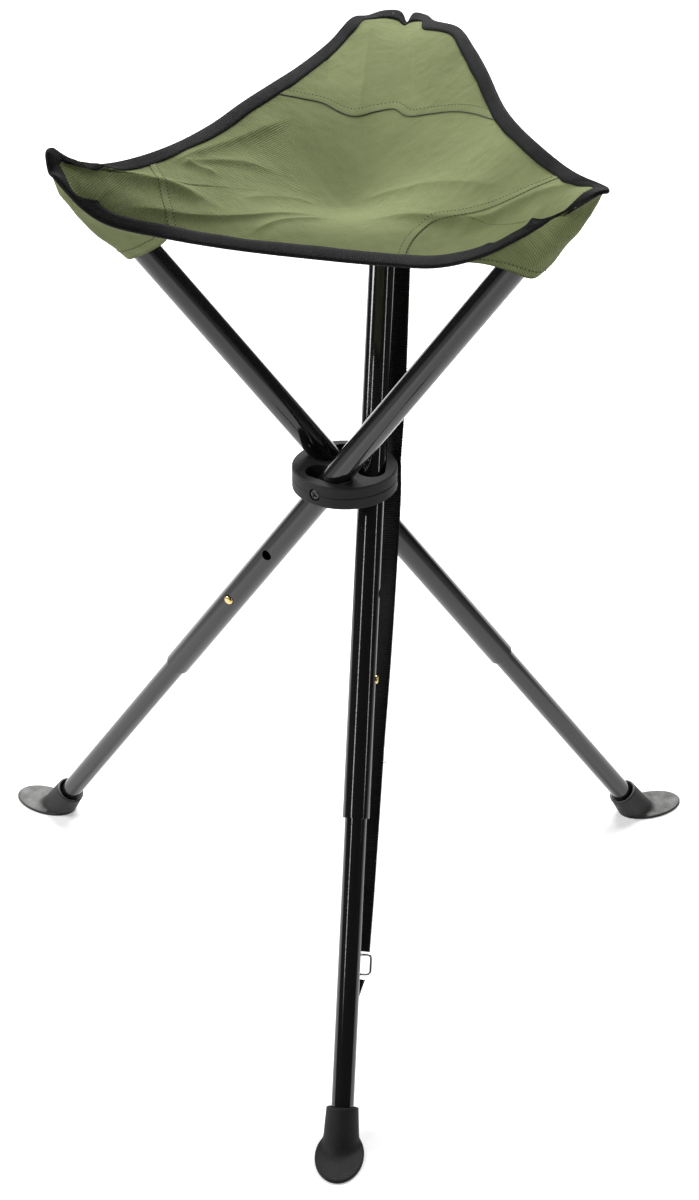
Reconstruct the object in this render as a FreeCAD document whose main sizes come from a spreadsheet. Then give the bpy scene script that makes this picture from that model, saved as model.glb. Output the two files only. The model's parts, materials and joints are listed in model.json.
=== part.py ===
# Three leg folding stool: three straight telescoping legs cross in a slotted hub and
# carry a triangular fabric seat on their upper ends. Millimetres, +Z up. The origin is
# on the floor, at the centre of the stool's bounding box.
#
# Leg frame: its origin is the leg's pivot in the hub, its Z runs up the leg, its X along
# the pivot screw, outward from the hub, and its Y down and away from the foot.

import FreeCAD, Part
import math
import os
import Sketcher
from FreeCAD import Placement, Rotation, Vector

doc = FreeCAD.newDocument("Stool")

# ---------------------------------------------------------------- driving dimensions

DIMENSIONS = {
    # whole stool
    "hub_axis_x": 11.15,
    "hub_axis_y": 65.76,
    "hub_height": 437.0,
    "leg_tilt": 35.7,
    "leg_offset": 22.3,
    # hub
    "hub_radius": 43.0,
    "hub_thickness": 19.5,
    "hub_edge": 1.2,
    "groove_depth": 0.5,
    "groove_half": 0.5,
    "slot_radius": 11.4,
    "slot_reach": 9.6,
    "counterbore_radius": 5.2,
    "counterbore_depth": 3.6,
    "nut_pocket_near": 4.1,
    "nut_pocket_length": 4.4,
    "nut_pocket_half": 4.1,
    "nut_pocket_top": 4.8,
    # upper tube
    "upper_radius": 11.0,
    "upper_bore": 9.8,
    "upper_length": 605.8,
    "upper_top": 328.0,
    "mouth_bore": 9.06,
    "mouth_length": 5.8,
    "mouth_taper": 2.0,
    # lower tube
    "lower_radius": 9.0,
    "lower_bore": 8.0,
    "lower_length": 396.0,
    "lower_top": -130.0,
    # snap button and its holes
    "button_height": -165.6,
    "button_travel": 69.2,
    "button_radius": 4.0,
    "button_hole": 4.1,
    "catch_hole": 4.5,
    "flange_radius": 4.6,
    "flange_thickness": 1.0,
    "flange_inner": 4.6,
    "button_length": 8.1,
    "button_dome": 2.2,
    "spring_strip": 0.5,
    "spring_width": 5.0,
    "spring_spread": 12.0,
    "spring_drop": 12.0,
    "spring_leaf_end": 6.0,
    "spring_shoulder": 33.3,
    "spring_crown": 44.1,
    "spring_crown_half": 2.0,
    "spring_gap": 0.1,
    # pivot
    "screw_radius": 2.5,
    "screw_hole": 2.55,
    "screw_head_radius": 4.6,
    "screw_head_length": 3.0,
    "screw_head_edge": 1.0,
    "screw_length": 38.7,
    "screw_tip": -18.5,
    "recess_half": 0.7,
    "recess_reach": 2.6,
    "recess_depth": 1.4,
    "nut_flats_half": 4.0,
    "nut_thickness": 4.0,
    "nut_gap": 0.2,
    # bush and cap
    "bush_radius": 9.75,
    "bush_skirt": 26.0,
    "bush_lid": 3.0,
    "bush_opening": 5.5,
    "cap_head": 2.5,
    "cap_stem": 12.0,
    "cap_stem_radius": 9.78,
    "cap_edge": 1.5,
    # foot
    "sleeve_radius": 13.0,
    "sleeve_base_radius": 14.5,
    "sleeve_mouth": -507.0,
    "sleeve_depth": 19.0,
    "mouth_recess": 4.0,
    "mouth_recess_radius": 10.6,
    "pad_half_length": 31.5,
    "pad_half_width": 19.5,
    "pad_centre": 12.5,
    "pad_thickness": 3.4,
    "floor_block": 120.0,
    # seat
    "seat_reach": 226.5,
    "seat_height": 309.0,
    "seat_dip": 77.0,
    "seat_thickness": 2.0,
    "seat_dish": 1.1,
    "binding_share": 0.957,
    "binding_thickness": 3.0,
    "pocket_radius": 12.4,
    "pocket_bore": 11.3,
    "pocket_bottom": 255.0,
    "pocket_length": 78.0,
    "pocket_end": 1.2,
    "pocket_edge": 2.0,
    # strap
    "strap_width": 25.0,
    "strap_thickness": 1.6,
    "ring_width": 30.0,
    "ring_length": 18.0,
    "ring_wire": 2.4,
    "rivet_radius": 2.0,
    "rivet_shank": 3.7,
    "rivet_length": 4.8,
    "rivet_head_radius": 4.0,
    "rivet_edge": 1.0,
}

sheet = doc.addObject("Spreadsheet::Sheet", "dims")
for row, (alias, number) in enumerate(DIMENSIONS.items(), start=1):
    sheet.set(f"A{row}", alias)
    sheet.set(f"B{row}", str(number))
    sheet.setAlias(f"B{row}", alias)
doc.recompute()

ORIGIN_X = -2        # the sketch's vertical axis, where x is 0
ORIGIN_Y = -1        # the sketch's horizontal axis, where y is 0


def value(expression):
    """The number that an expression over the sheet's cells gives."""
    return float(sheet.evalExpression(expression))


# ---------------------------------------------------------------- frames

LEG_AZIMUTHS = {"front": -90.0, "right": 30.0, "left": 150.0}
hub_centre = Vector(value("hub_axis_x"), value("hub_axis_y"), value("hub_height"))
tilt = value("leg_tilt")
TURN_TO_X = Rotation(Vector(0, 1, 0), 90)


def outward(azimuth):
    """The level direction in which a leg's foot points."""
    return Vector(math.cos(math.radians(azimuth)), math.sin(math.radians(azimuth)), 0)


def screw_direction(azimuth):
    return outward(azimuth + 90)


def leg_frame(azimuth):
    pivot = hub_centre + screw_direction(azimuth) * value("leg_offset")
    turn = Rotation(Vector(0, 0, 1), azimuth + 90)
    return Placement(pivot, turn * Rotation(Vector(1, 0, 0), -tilt))


def along_leg(azimuth, height):
    return leg_frame(azimuth) * Placement(Vector(0, 0, height), Rotation())


def along_screw(azimuth, distance, height=0.0):
    """A frame whose Z points along the leg's X, for pieces turned about it."""
    return leg_frame(azimuth) * Placement(Vector(distance, 0, height), TURN_TO_X)


# ---------------------------------------------------------------- sketch helpers

parts = []


def new_body(label):
    body = doc.addObject("PartDesign::Body", label)
    body.Label = label
    parts.append(body)
    return body


def new_sketch(body, role, name, offset=None):
    sketch = body.newObject("Sketcher::SketchObject", name)
    plane = next(item for item in body.Origin.OriginFeatures if item.Role == role)
    sketch.AttachmentSupport = (plane, "")
    sketch.MapMode = "FlatFace"
    if offset is not None:
        sketch.AttachmentOffset = offset
    return sketch


def bind_point(sketch, edge, end, x_size, y_size):
    """Hold a sketch point at sizes from the sheet; a size of "0" puts it on the axis."""
    for size, kind, axis in ((x_size, "DistanceX", ORIGIN_X), (y_size, "DistanceY", ORIGIN_Y)):
        if size == "0":
            sketch.addConstraint(Sketcher.Constraint("PointOnObject", edge, end, axis))
        else:
            index = sketch.addConstraint(Sketcher.Constraint(kind, -1, 1, edge, end, value(size)))
            sketch.setExpression(f"Constraints[{index}]", size)


def outline(sketch, corners):
    """A closed outline of straight edges through corners given as sheet expressions."""
    points = [Vector(value(x), value(y), 0) for x, y in corners]
    for start, end in zip(points, points[1:] + points[:1]):
        sketch.addGeometry(Part.LineSegment(start, end), False)
    for edge in range(len(points)):
        following = (edge + 1) % len(points)
        sketch.addConstraint(Sketcher.Constraint("Coincident", edge, 2, following, 1))
    for edge, (x_size, y_size) in enumerate(corners):
        bind_point(sketch, edge, 1, x_size, y_size)


def circle(sketch, x_size, y_size, radius):
    centre = Vector(value(x_size), value(y_size), 0)
    edge = sketch.addGeometry(Part.Circle(centre, Vector(0, 0, 1), value(radius)), False)
    index = sketch.addConstraint(Sketcher.Constraint("Radius", edge, value(radius)))
    sketch.setExpression(f"Constraints[{index}]", radius)
    bind_point(sketch, edge, 3, x_size, y_size)


def turned(label, corners):
    """A body turned about its Z from a half section of (radius, height) corners."""
    body = new_body(label)
    sketch = new_sketch(body, "XZ_Plane", label + "_section")
    outline(sketch, corners)
    turn = body.newObject("PartDesign::Revolution", label + "_turn")
    turn.Profile = sketch
    turn.ReferenceAxis = (sketch, ["V_Axis"])
    turn.Angle = 360
    sketch.Visibility = False
    body.Tip = turn
    return body


def pad(body, sketch, length, name, symmetric=False):
    feature = body.newObject("PartDesign::Pad", name)
    feature.Profile = sketch
    feature.setExpression("Length", length)
    feature.Midplane = symmetric
    body.Tip = feature
    return feature


def pocket(body, sketch, length, name, forward=False, symmetric=False):
    """Cut a sketch's outline; forward cuts along the sketch plane's normal."""
    feature = body.newObject("PartDesign::Pocket", name)
    feature.Profile = sketch
    feature.setExpression("Length", length)
    feature.Reversed = forward
    feature.Midplane = symmetric
    body.Tip = feature
    return feature


def round_highest_edge(body, feature, radius, name):
    """Fillet the topmost round edge of a turned body."""
    doc.recompute()
    rings = [(edge.BoundBox.ZMin, number) for number, edge in enumerate(feature.Shape.Edges, start=1)
             if isinstance(edge.Curve, Part.Circle)]
    height, number = max(rings)
    fillet = body.newObject("PartDesign::Fillet", name)
    fillet.Base = (feature, [f"Edge{number}"])
    fillet.setExpression("Radius", radius)
    body.Tip = fillet


def side_hole(body, name, height, radius, both_walls=False):
    """A round hole across a turned body, through its +X wall or through both walls."""
    sketch = new_sketch(body, "YZ_Plane", name + "_circle")
    circle(sketch, "0", height, radius)
    reach = "dims.upper_radius * 2"
    pocket(body, sketch, reach, name, forward=True, symmetric=both_walls)


# ---------------------------------------------------------------- hub

def make_hub():
    body = new_body("hub")
    half = "dims.hub_thickness / 2"
    rim = "dims.hub_radius"
    sketch = new_sketch(body, "XZ_Plane", "hub_section")
    low_edge = "dims.hub_edge"
    high_edge = "dims.hub_thickness - dims.hub_edge"
    outline(sketch, [
        ("0", "0"),
        (rim + " - dims.hub_edge", "0"),
        (rim, low_edge),
        (rim, half + " - dims.groove_half"),
        (rim + " - dims.groove_depth", half),
        (rim, half + " + dims.groove_half"),
        (rim, high_edge),
        (rim + " - dims.hub_edge", "dims.hub_thickness"),
        ("0", "dims.hub_thickness"),
    ])
    disc = body.newObject("PartDesign::Revolution", "hub_disc")
    disc.Profile = sketch
    disc.ReferenceAxis = (sketch, ["V_Axis"])
    disc.Angle = 360
    body.Tip = disc
    doc.recompute()

    slot = new_sketch(body, "XY_Plane", "leg_slot_outline")
    slot_outline(slot)
    slot_cut = pocket(body, slot, "dims.hub_thickness", "leg_slot", forward=True)

    bore = new_sketch(body, "YZ_Plane", "screw_bore_circle")
    circle(bore, "0", half, "dims.screw_radius")
    bore_cut = pocket(body, bore, "dims.hub_radius", "screw_bore", forward=True)

    seat = new_sketch(body, "YZ_Plane", "counterbore_circle",
                      Placement(Vector(0, 0, value("hub_radius - counterbore_depth")), Rotation()))
    seat.setExpression("AttachmentOffset.Base.z", "dims.hub_radius - dims.counterbore_depth")
    circle(seat, "0", half, "dims.counterbore_radius")
    seat_cut = pocket(body, seat, "dims.counterbore_depth", "counterbore", forward=True)

    nut = new_sketch(body, "XY_Plane", "nut_pocket_outline",
                     Placement(Vector(0, -value("nut_pocket_half"), 0), Rotation()))
    nut.setExpression("AttachmentOffset.Base.y", "-dims.nut_pocket_half")
    far = "dims.nut_pocket_near + dims.nut_pocket_length"
    wide = "dims.nut_pocket_half * 2"
    near = "dims.nut_pocket_near"
    outline(nut, [(near, "0"), (far, "0"), (far, wide), (near, wide)])
    nut_cut = pocket(body, nut, half + " + dims.nut_pocket_top", "nut_pocket", forward=True)

    ring = body.newObject("PartDesign::PolarPattern", "three_legs")
    ring.Originals = [slot_cut, bore_cut, seat_cut, nut_cut]
    ring.Axis = (slot, ["N_Axis"])
    ring.Angle = 360
    ring.Occurrences = 3
    body.Tip = ring
    low = hub_centre - Vector(0, 0, value("hub_thickness") / 2)
    body.Placement = Placement(low, Rotation())


def slot_outline(sketch):
    """A long slot whose ends are half circles, set off the hub's axis along X."""
    radius = value("slot_radius")
    reach = value("slot_reach")
    middle = value("leg_offset")
    up, down = Vector(middle, reach, 0), Vector(middle, -reach, 0)
    axis = Vector(0, 0, 1)
    sketch.addGeometry(Part.ArcOfCircle(Part.Circle(up, axis, radius), 0, math.pi), False)
    sketch.addGeometry(Part.LineSegment(up - Vector(radius, 0, 0), down - Vector(radius, 0, 0)), False)
    sketch.addGeometry(Part.ArcOfCircle(Part.Circle(down, axis, radius), math.pi, 2 * math.pi), False)
    sketch.addGeometry(Part.LineSegment(down + Vector(radius, 0, 0), up + Vector(radius, 0, 0)), False)
    for edge in range(4):
        sketch.addConstraint(Sketcher.Constraint("Tangent", edge, 2, (edge + 1) % 4, 1))
    width = sketch.addConstraint(Sketcher.Constraint("Radius", 0, radius))
    sketch.setExpression(f"Constraints[{width}]", "dims.slot_radius")
    bind_point(sketch, 0, 3, "dims.leg_offset", "dims.slot_reach")
    lower = sketch.addConstraint(Sketcher.Constraint("DistanceY", 2, 3, -1, 1, reach))
    sketch.setExpression(f"Constraints[{lower}]", "dims.slot_reach")


# ---------------------------------------------------------------- leg pieces

def make_upper_tube(leg, azimuth):
    """A tube whose lower mouth is rolled in until it guides the lower tube."""
    bottom = "dims.upper_top - dims.upper_length"
    tube = turned("upper_tube_" + leg, [
        ("dims.mouth_bore", "0"),
        ("dims.upper_radius", "0"),
        ("dims.upper_radius", "dims.upper_length"),
        ("dims.upper_bore", "dims.upper_length"),
        ("dims.upper_bore", "dims.mouth_length + dims.mouth_taper"),
        ("dims.mouth_bore", "dims.mouth_length"),
    ])
    doc.recompute()
    catch = f"dims.button_height - ({bottom})"
    side_hole(tube, "catch_hole_" + leg, catch, "dims.catch_hole")
    side_hole(tube, "spare_hole_" + leg, catch + " + dims.button_travel", "dims.catch_hole")
    side_hole(tube, "pivot_hole_" + leg, f"-({bottom})", "dims.screw_hole", both_walls=True)
    tube.Placement = along_leg(azimuth, value(bottom))


def make_lower_tube(leg, azimuth):
    bottom = "dims.lower_top - dims.lower_length"
    tube = turned("lower_tube_" + leg, [
        ("dims.lower_bore", "0"),
        ("dims.lower_radius", "0"),
        ("dims.lower_radius", "dims.lower_length"),
        ("dims.lower_bore", "dims.lower_length"),
    ])
    doc.recompute()
    side_hole(tube, "button_hole_" + leg, f"dims.button_height - ({bottom})", "dims.button_hole")
    tube.Placement = along_leg(azimuth, value(bottom))


def make_guide_bush(leg, azimuth):
    """A plastic plug on the lower tube's top end that runs in the upper tube's bore."""
    bush = turned("guide_bush_" + leg, [
        ("dims.lower_radius", "0"),
        ("dims.bush_radius", "0"),
        ("dims.bush_radius", "dims.bush_skirt + dims.bush_lid"),
        ("dims.bush_opening", "dims.bush_skirt + dims.bush_lid"),
        ("dims.bush_opening", "dims.bush_skirt"),
        ("dims.lower_radius", "dims.bush_skirt"),
    ])
    bush.Placement = along_leg(azimuth, value("lower_top - bush_skirt"))


def make_snap_button(leg, azimuth):
    """A domed button with a flange that stops it inside the lower tube."""
    label = "snap_button_" + leg
    button = turned(label, [
        ("0", "0"),
        ("dims.flange_radius", "0"),
        ("dims.flange_radius", "dims.flange_thickness"),
        ("dims.button_radius", "dims.flange_thickness"),
        ("dims.button_radius", "dims.button_length"),
        ("0", "dims.button_length"),
    ])
    round_highest_edge(button, button.Tip, "dims.button_dome", label + "_dome")
    button.Placement = along_screw(azimuth, value("flange_inner"), value("button_height"))


def make_button_spring(leg, azimuth):
    """A V of spring strip inside the lower tube: one leaf under the button, one on the wall."""
    label = "button_spring_" + leg
    body = new_body(label)
    sketch = new_sketch(body, "XZ_Plane", label + "_outline")
    strip = "dims.spring_strip"
    span = "dims.spring_spread"
    inside = span + " - " + strip
    shoulder = "dims.spring_shoulder"
    crown = "dims.spring_crown"
    crown_near = "dims.spring_spread / 2 - dims.spring_crown_half"
    crown_far = "dims.spring_spread / 2 + dims.spring_crown_half"
    outline(sketch, [
        ("0", "0"),
        (strip, "0"),
        (strip, shoulder),
        (crown_near, crown + " - " + strip),
        (crown_far, crown + " - " + strip),
        (inside, shoulder),
        (inside, "dims.spring_leaf_end"),
        (span, "dims.spring_leaf_end"),
        (span, shoulder),
        (crown_far, crown),
        (crown_near, crown),
        ("0", shoulder),
    ])
    pad(body, sketch, "dims.spring_width", label + "_strip", symmetric=True)
    wall_leaf = value("flange_inner - spring_gap - spring_spread")
    low_end = value("button_height - spring_drop")
    body.Placement = leg_frame(azimuth) * Placement(Vector(wall_leaf, 0, low_end), Rotation())


def make_pivot_screw(leg, azimuth):
    """A cross-head screw from the hub's rim through the tube into the nut in the core."""
    neck = "dims.screw_length - dims.screw_head_length"
    screw = turned("pivot_screw_" + leg, [
        ("0", "0"),
        ("dims.screw_radius", "0"),
        ("dims.screw_radius", neck),
        ("dims.screw_head_radius", neck),
        ("dims.screw_head_radius", "dims.screw_length - dims.screw_head_edge"),
        ("dims.screw_head_radius - dims.screw_head_edge", "dims.screw_length"),
        ("0", "dims.screw_length"),
    ])
    doc.recompute()
    floor = value("screw_length - recess_depth")
    for name, wide, tall in (("level", "recess_reach", "recess_half"),
                             ("upright", "recess_half", "recess_reach")):
        lift = Placement(Vector(-value(wide), -value(tall), floor), Rotation())
        sketch = new_sketch(screw, "XY_Plane", f"recess_{name}_{leg}", lift)
        far_x = f"dims.{wide} * 2"
        far_y = f"dims.{tall} * 2"
        outline(sketch, [("0", "0"), (far_x, "0"), (far_x, far_y), ("0", far_y)])
        pocket(screw, sketch, "dims.recess_depth", f"recess_{name}_cut_{leg}", forward=True)
    screw.Placement = along_screw(azimuth, value("screw_tip"))


def make_pivot_nut(leg, azimuth):
    """A square nut held in the hub's core."""
    label = "pivot_nut_" + leg
    body = new_body(label)
    half = value("nut_flats_half")
    centred = Placement(Vector(-half, -half, 0), Rotation())
    sketch = new_sketch(body, "XY_Plane", label + "_square", centred)
    side = "dims.nut_flats_half * 2"
    outline(sketch, [("0", "0"), (side, "0"), (side, side), ("0", side)])
    pad(body, sketch, "dims.nut_thickness", label + "_block")
    doc.recompute()
    thread = new_sketch(body, "XY_Plane", label + "_thread")
    circle(thread, "0", "0", "dims.screw_radius")
    pocket(body, thread, "dims.nut_thickness", label + "_bore", forward=True)
    upright = Placement(hub_centre, Rotation(Vector(0, 0, 1), azimuth + 90))
    body.Placement = upright * Placement(Vector(value("nut_pocket_near + nut_gap"), 0, 0), TURN_TO_X)


def make_top_cap(leg, azimuth):
    cap = turned("top_cap_" + leg, [
        ("0", "0"),
        ("dims.cap_stem_radius", "0"),
        ("dims.cap_stem_radius", "dims.cap_stem"),
        ("dims.upper_radius", "dims.cap_stem"),
        ("dims.upper_radius", "dims.cap_stem + dims.cap_head - dims.cap_edge"),
        ("dims.upper_radius - dims.cap_edge", "dims.cap_stem + dims.cap_head"),
        ("0", "dims.cap_stem + dims.cap_head"),
    ])
    cap.Placement = along_leg(azimuth, value("upper_top - cap_stem"))


def primitive(kind, name, placement, **sizes):
    """A Part primitive whose sizes are bound to the sheet."""
    solid = doc.addObject("Part::" + kind, name)
    for size, expression in sizes.items():
        solid.setExpression(size, expression)
    solid.Placement = placement
    return solid


def make_foot(leg, azimuth):
    """A rubber sleeve on the lower tube, moulded in one with an oval tread plate."""
    bore_end = value("sleeve_mouth - sleeve_depth")
    floor_point = value("hub_height") / math.cos(math.radians(tilt))
    buried = floor_point + value("sleeve_mouth") + value("sleeve_radius")
    frame = along_leg(azimuth, value("sleeve_mouth") - buried)
    sleeve = primitive("Cone", "foot_sleeve_" + leg, frame,
                       Radius1="dims.sleeve_base_radius", Radius2="dims.sleeve_radius")
    sleeve.Height = buried
    bore = primitive("Cylinder", "foot_bore_" + leg, along_leg(azimuth, bore_end),
                     Radius="dims.lower_radius", Height="dims.sleeve_depth")
    recess = primitive("Cylinder", "foot_recess_" + leg,
                       along_leg(azimuth, value("sleeve_mouth - mouth_recess")),
                       Radius="dims.mouth_recess_radius", Height="dims.mouth_recess")

    axis_on_floor = leg_frame(azimuth).multVec(Vector(0, 0, -floor_point))
    centre = axis_on_floor + outward(azimuth) * value("pad_centre")
    turn = Rotation(Vector(0, 0, 1), azimuth)
    oval = primitive("Ellipse", "foot_oval_" + leg, Placement(centre, turn),
                     MajorRadius="dims.pad_half_length", MinorRadius="dims.pad_half_width")
    plate = doc.addObject("Part::Extrusion", "foot_plate_" + leg)
    plate.Base = oval
    plate.Dir = Vector(0, 0, 1)
    plate.Solid = True
    plate.setExpression("LengthFwd", "dims.pad_thickness")
    block = value("floor_block")
    under = Placement(centre - Vector(block / 2, block / 2, block), Rotation())
    below = primitive("Box", "foot_below_floor_" + leg, under,
                      Length="dims.floor_block", Width="dims.floor_block", Height="dims.floor_block")

    whole = doc.addObject("Part::MultiFuse", "foot_whole_" + leg)
    whole.Shapes = [sleeve, plate]
    waste = doc.addObject("Part::MultiFuse", "foot_waste_" + leg)
    waste.Shapes = [bore, recess, below]
    foot = doc.addObject("Part::Cut", "foot_" + leg)
    foot.Label = "foot_" + leg
    foot.Base = whole
    foot.Tool = waste
    parts.append(foot)


def make_seat_pocket(leg, azimuth):
    """The fabric pocket that a tube's upper end sits in."""
    pocket_body = turned("seat_pocket_" + leg, [
        ("dims.pocket_bore", "0"),
        ("dims.pocket_radius", "0"),
        ("dims.pocket_radius", "dims.pocket_length - dims.pocket_edge"),
        ("dims.pocket_radius - dims.pocket_edge", "dims.pocket_length"),
        ("0", "dims.pocket_length"),
        ("0", "dims.pocket_length - dims.pocket_end"),
        ("dims.pocket_bore", "dims.pocket_length - dims.pocket_end"),
    ])
    pocket_body.Placement = along_leg(azimuth, value("pocket_bottom"))


# ---------------------------------------------------------------- seat

# Each edge of the seat runs between two corners. Its inner points stand off the straight
# line between them: (share of the way along, distance outward, height).
SEAT_EDGES = {
    ("right", "left"): [(0.08, 0, -46), (0.3, -10, -70), (0.55, -14, -75), (0.8, -9, -57),
                        (0.93, 0, -25)],
    ("left", "front"): [(0.08, 8, -3), (0.25, -3, -2), (0.5, 10, -6), (0.7, 20, 5), (0.88, 14, 11)],
    ("front", "right"): [(0.08, 10, 0), (0.22, 5, -11), (0.45, -8, -20), (0.68, -10, -26),
                         (0.88, -4, -15)],
}
EDGE_STEPS = 8
PANEL_RINGS = [0.955, 0.8, 0.5, 0.2]      # shares of the way from the middle to the edge


def seat_corner(leg):
    """The tip of the seat above a leg's upper end."""
    azimuth = LEG_AZIMUTHS[leg]
    reach = outward(azimuth) * -value("seat_reach") + screw_direction(azimuth) * value("leg_offset")
    return hub_centre + reach + Vector(0, 0, value("seat_height"))


def seat_outline():
    """Points round the seat's edge, the same number on each of its three sides."""
    points = []
    for (first, second), offsets in SEAT_EDGES.items():
        start, end = seat_corner(first), seat_corner(second)
        run = end - start
        outside = Vector(run.y, -run.x, 0).normalize()
        if outside.dot((start + end) / 2 - hub_centre) < 0:
            outside = outside * -1
        through = [start]
        for share, out, lift in offsets:
            through.append(start + run * share + outside * out + Vector(0, 0, lift))
        through.append(end)
        curve = Part.BSplineCurve()
        curve.interpolate(through)
        span = curve.LastParameter - curve.FirstParameter
        for step in range(EDGE_STEPS):
            points.append(curve.value(curve.FirstParameter + span * step / EDGE_STEPS))
    return points


def on_dish(point, share):
    """The dish's surface below an edge point: it rises towards the edge, a little steeper there."""
    middle = dish_middle()
    away = point - middle
    rise = away.z * share ** value("seat_dish")
    return middle + Vector(away.x * share, away.y * share, rise)


def dish_middle():
    return hub_centre + Vector(0, 0, value("seat_height - seat_dip"))


def solid_from_triangles(triangles):
    faces = []
    for corners in triangles:
        loop = Part.makePolygon([corners[0], corners[1], corners[2], corners[0]])
        faces.append(Part.Face(loop))
    solid = Part.makeSolid(Part.makeShell(faces))
    if solid.Volume < 0:
        solid.reverse()
    return solid


def add_shape(label, shape):
    feature = doc.addObject("Part::Feature", label)
    feature.Label = label
    feature.Shape = shape
    feature.Placement = Placement()
    parts.append(feature)


def strip_between(first, second, closed=True):
    """Triangles of the strip that joins two rows of points."""
    count = len(first) if closed else len(first) - 1
    triangles = []
    for index in range(count):
        following = (index + 1) % len(first)
        triangles.append((first[index], first[following], second[following]))
        triangles.append((first[index], second[following], second[index]))
    return triangles


def make_seat_panel():
    """The sitting surface: a thin dish that rises along the lines to its three corners."""
    rim = seat_outline()
    middle = dish_middle()
    drop = Vector(0, 0, value("seat_thickness"))
    rings = [[on_dish(point, share) for point in rim] for share in PANEL_RINGS]
    under = [[point - drop for point in ring] for ring in rings]
    triangles = strip_between(rings[0], under[0])
    for outer, inner in zip(rings, rings[1:]):
        triangles += strip_between(inner, outer)
    for outer, inner in zip(under, under[1:]):
        triangles += strip_between(outer, inner)
    for index in range(len(rim)):
        following = (index + 1) % len(rim)
        triangles.append((rings[-1][index], rings[-1][following], middle))
        triangles.append((under[-1][following], under[-1][index], middle - drop))
    add_shape("seat_panel", solid_from_triangles(triangles))


def make_edge_binding():
    """The tape folded over the seat's edge, outside the panel all the way round."""
    rim = seat_outline()
    half = Vector(0, 0, value("binding_thickness") / 2)
    sink = Vector(0, 0, value("seat_thickness") / 2)
    outer = [point - sink for point in rim]
    inner = [on_dish(point, value("binding_share")) - sink for point in rim]
    section = [[point + half for point in outer], [point + half for point in inner],
               [point - half for point in inner], [point - half for point in outer]]
    triangles = []
    for side in range(4):
        triangles += strip_between(section[side], section[(side + 1) % 4])
    add_shape("edge_binding", solid_from_triangles(triangles))


# ---------------------------------------------------------------- carrying strap

FRONT = LEG_AZIMUTHS["front"]
RIM_AZIMUTH = 35.0       # where the strap passes the hub's rim

# Along the front leg, in its own frame: from the pocket, over the hub's rim, down to the
# ring behind the lower tube. The last number turns the strap's width from the leg's X (0)
# to the rim's tangent (1).
STRAP_ROUTE = [(8.5, 14.8, 292.0, 0.0), (11.0, 14.4, 150.0, 0.3), (14.9, 15.6, 22.9, 1.0),
               (14.9, 27.0, 7.1, 1.0), (8.5, 20.2, -180.0, 0.4), (2.8, 13.4, -384.0, 0.0)]
RING_CENTRE = (2.8, 13.2, -394.5)

# Each row: a point of the tab in the leg frame, then its width there.
TAB_ROUTE = [(2.6, 13.0, -405.6, 20.0), (1.4, 11.8, -416.0, 16.0), (0.6, 10.7, -426.0, 12.0),
             (0.4, 10.5, -438.0, 12.0)]
RIVET = (0.5, 8.0, -432.0)


def flat_strip(points, width_lines, widths, thickness):
    """A strip of tape along points, lying across the given width lines."""
    rings = []
    for index, point in enumerate(points):
        before = points[max(index - 1, 0)]
        after = points[min(index + 1, len(points) - 1)]
        along = (after - before).normalize()
        line = width_lines[index]
        across = (line - along * along.dot(line)).normalize() * (widths[index] / 2)
        through = along.cross(across).normalize() * (thickness / 2)
        rings.append([point + across + through, point - across + through,
                      point - across - through, point + across - through])
    triangles = []
    for first, second in zip(rings, rings[1:]):
        triangles += [(first[0], first[1], second[1]), (first[0], second[1], second[0]),
                      (first[1], first[2], second[2]), (first[1], second[2], second[1]),
                      (first[2], first[3], second[2]), (first[3], second[3], second[2]),
                      (first[3], first[0], second[0]), (first[3], second[0], second[3])]
    top, end = rings[0], rings[-1]
    triangles += [(top[0], top[2], top[1]), (top[0], top[3], top[2])]
    triangles += [(end[0], end[1], end[2]), (end[0], end[2], end[3])]
    return solid_from_triangles(triangles)


def make_strap():
    frame = leg_frame(FRONT)
    points = [frame.multVec(Vector(x, y, z)) for x, y, z, turn in STRAP_ROUTE]
    across_leg = frame.Rotation.multVec(Vector(1, 0, 0))
    along_rim = outward(RIM_AZIMUTH - 90)
    lines = [across_leg * (1 - turn) + along_rim * turn for x, y, z, turn in STRAP_ROUTE]
    widths = [value("strap_width")] * len(points)
    add_shape("carry_strap", flat_strip(points, lines, widths, value("strap_thickness")))


def make_strap_tab():
    frame = leg_frame(FRONT)
    points = [frame.multVec(Vector(x, y, z)) for x, y, z, width in TAB_ROUTE]
    across_leg = frame.Rotation.multVec(Vector(1, 0, 0))
    widths = [width for x, y, z, width in TAB_ROUTE]
    tab = flat_strip(points, [across_leg] * len(points), widths, value("strap_thickness"))
    add_shape("strap_tab", tab)


def make_strap_ring():
    """A flat wire loop between the strap and its tab."""
    body = new_body("strap_ring")
    wire = "dims.ring_wire"
    wide, long = "dims.ring_width", "dims.ring_length"
    low_corner = Vector(value("-ring_width / 2"), value("-ring_length / 2"), value("-ring_wire / 2"))
    centred = Placement(low_corner, Rotation())
    sketch = new_sketch(body, "XY_Plane", "strap_ring_outline", centred)
    outline(sketch, [("0", "0"), (wide, "0"), (wide, long), ("0", long)])
    pad(body, sketch, wire, "strap_ring_block")
    doc.recompute()
    window = new_sketch(body, "XY_Plane", "strap_ring_window", centred)
    far_x, far_y = wide + " - " + wire, long + " - " + wire
    outline(window, [(wire, wire), (far_x, wire), (far_x, far_y), (wire, far_y)])
    pocket(body, window, wire, "strap_ring_cut", forward=True)
    upright = Rotation(Vector(1, 0, 0), 90)
    body.Placement = leg_frame(FRONT) * Placement(Vector(*RING_CENTRE), upright)


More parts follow.
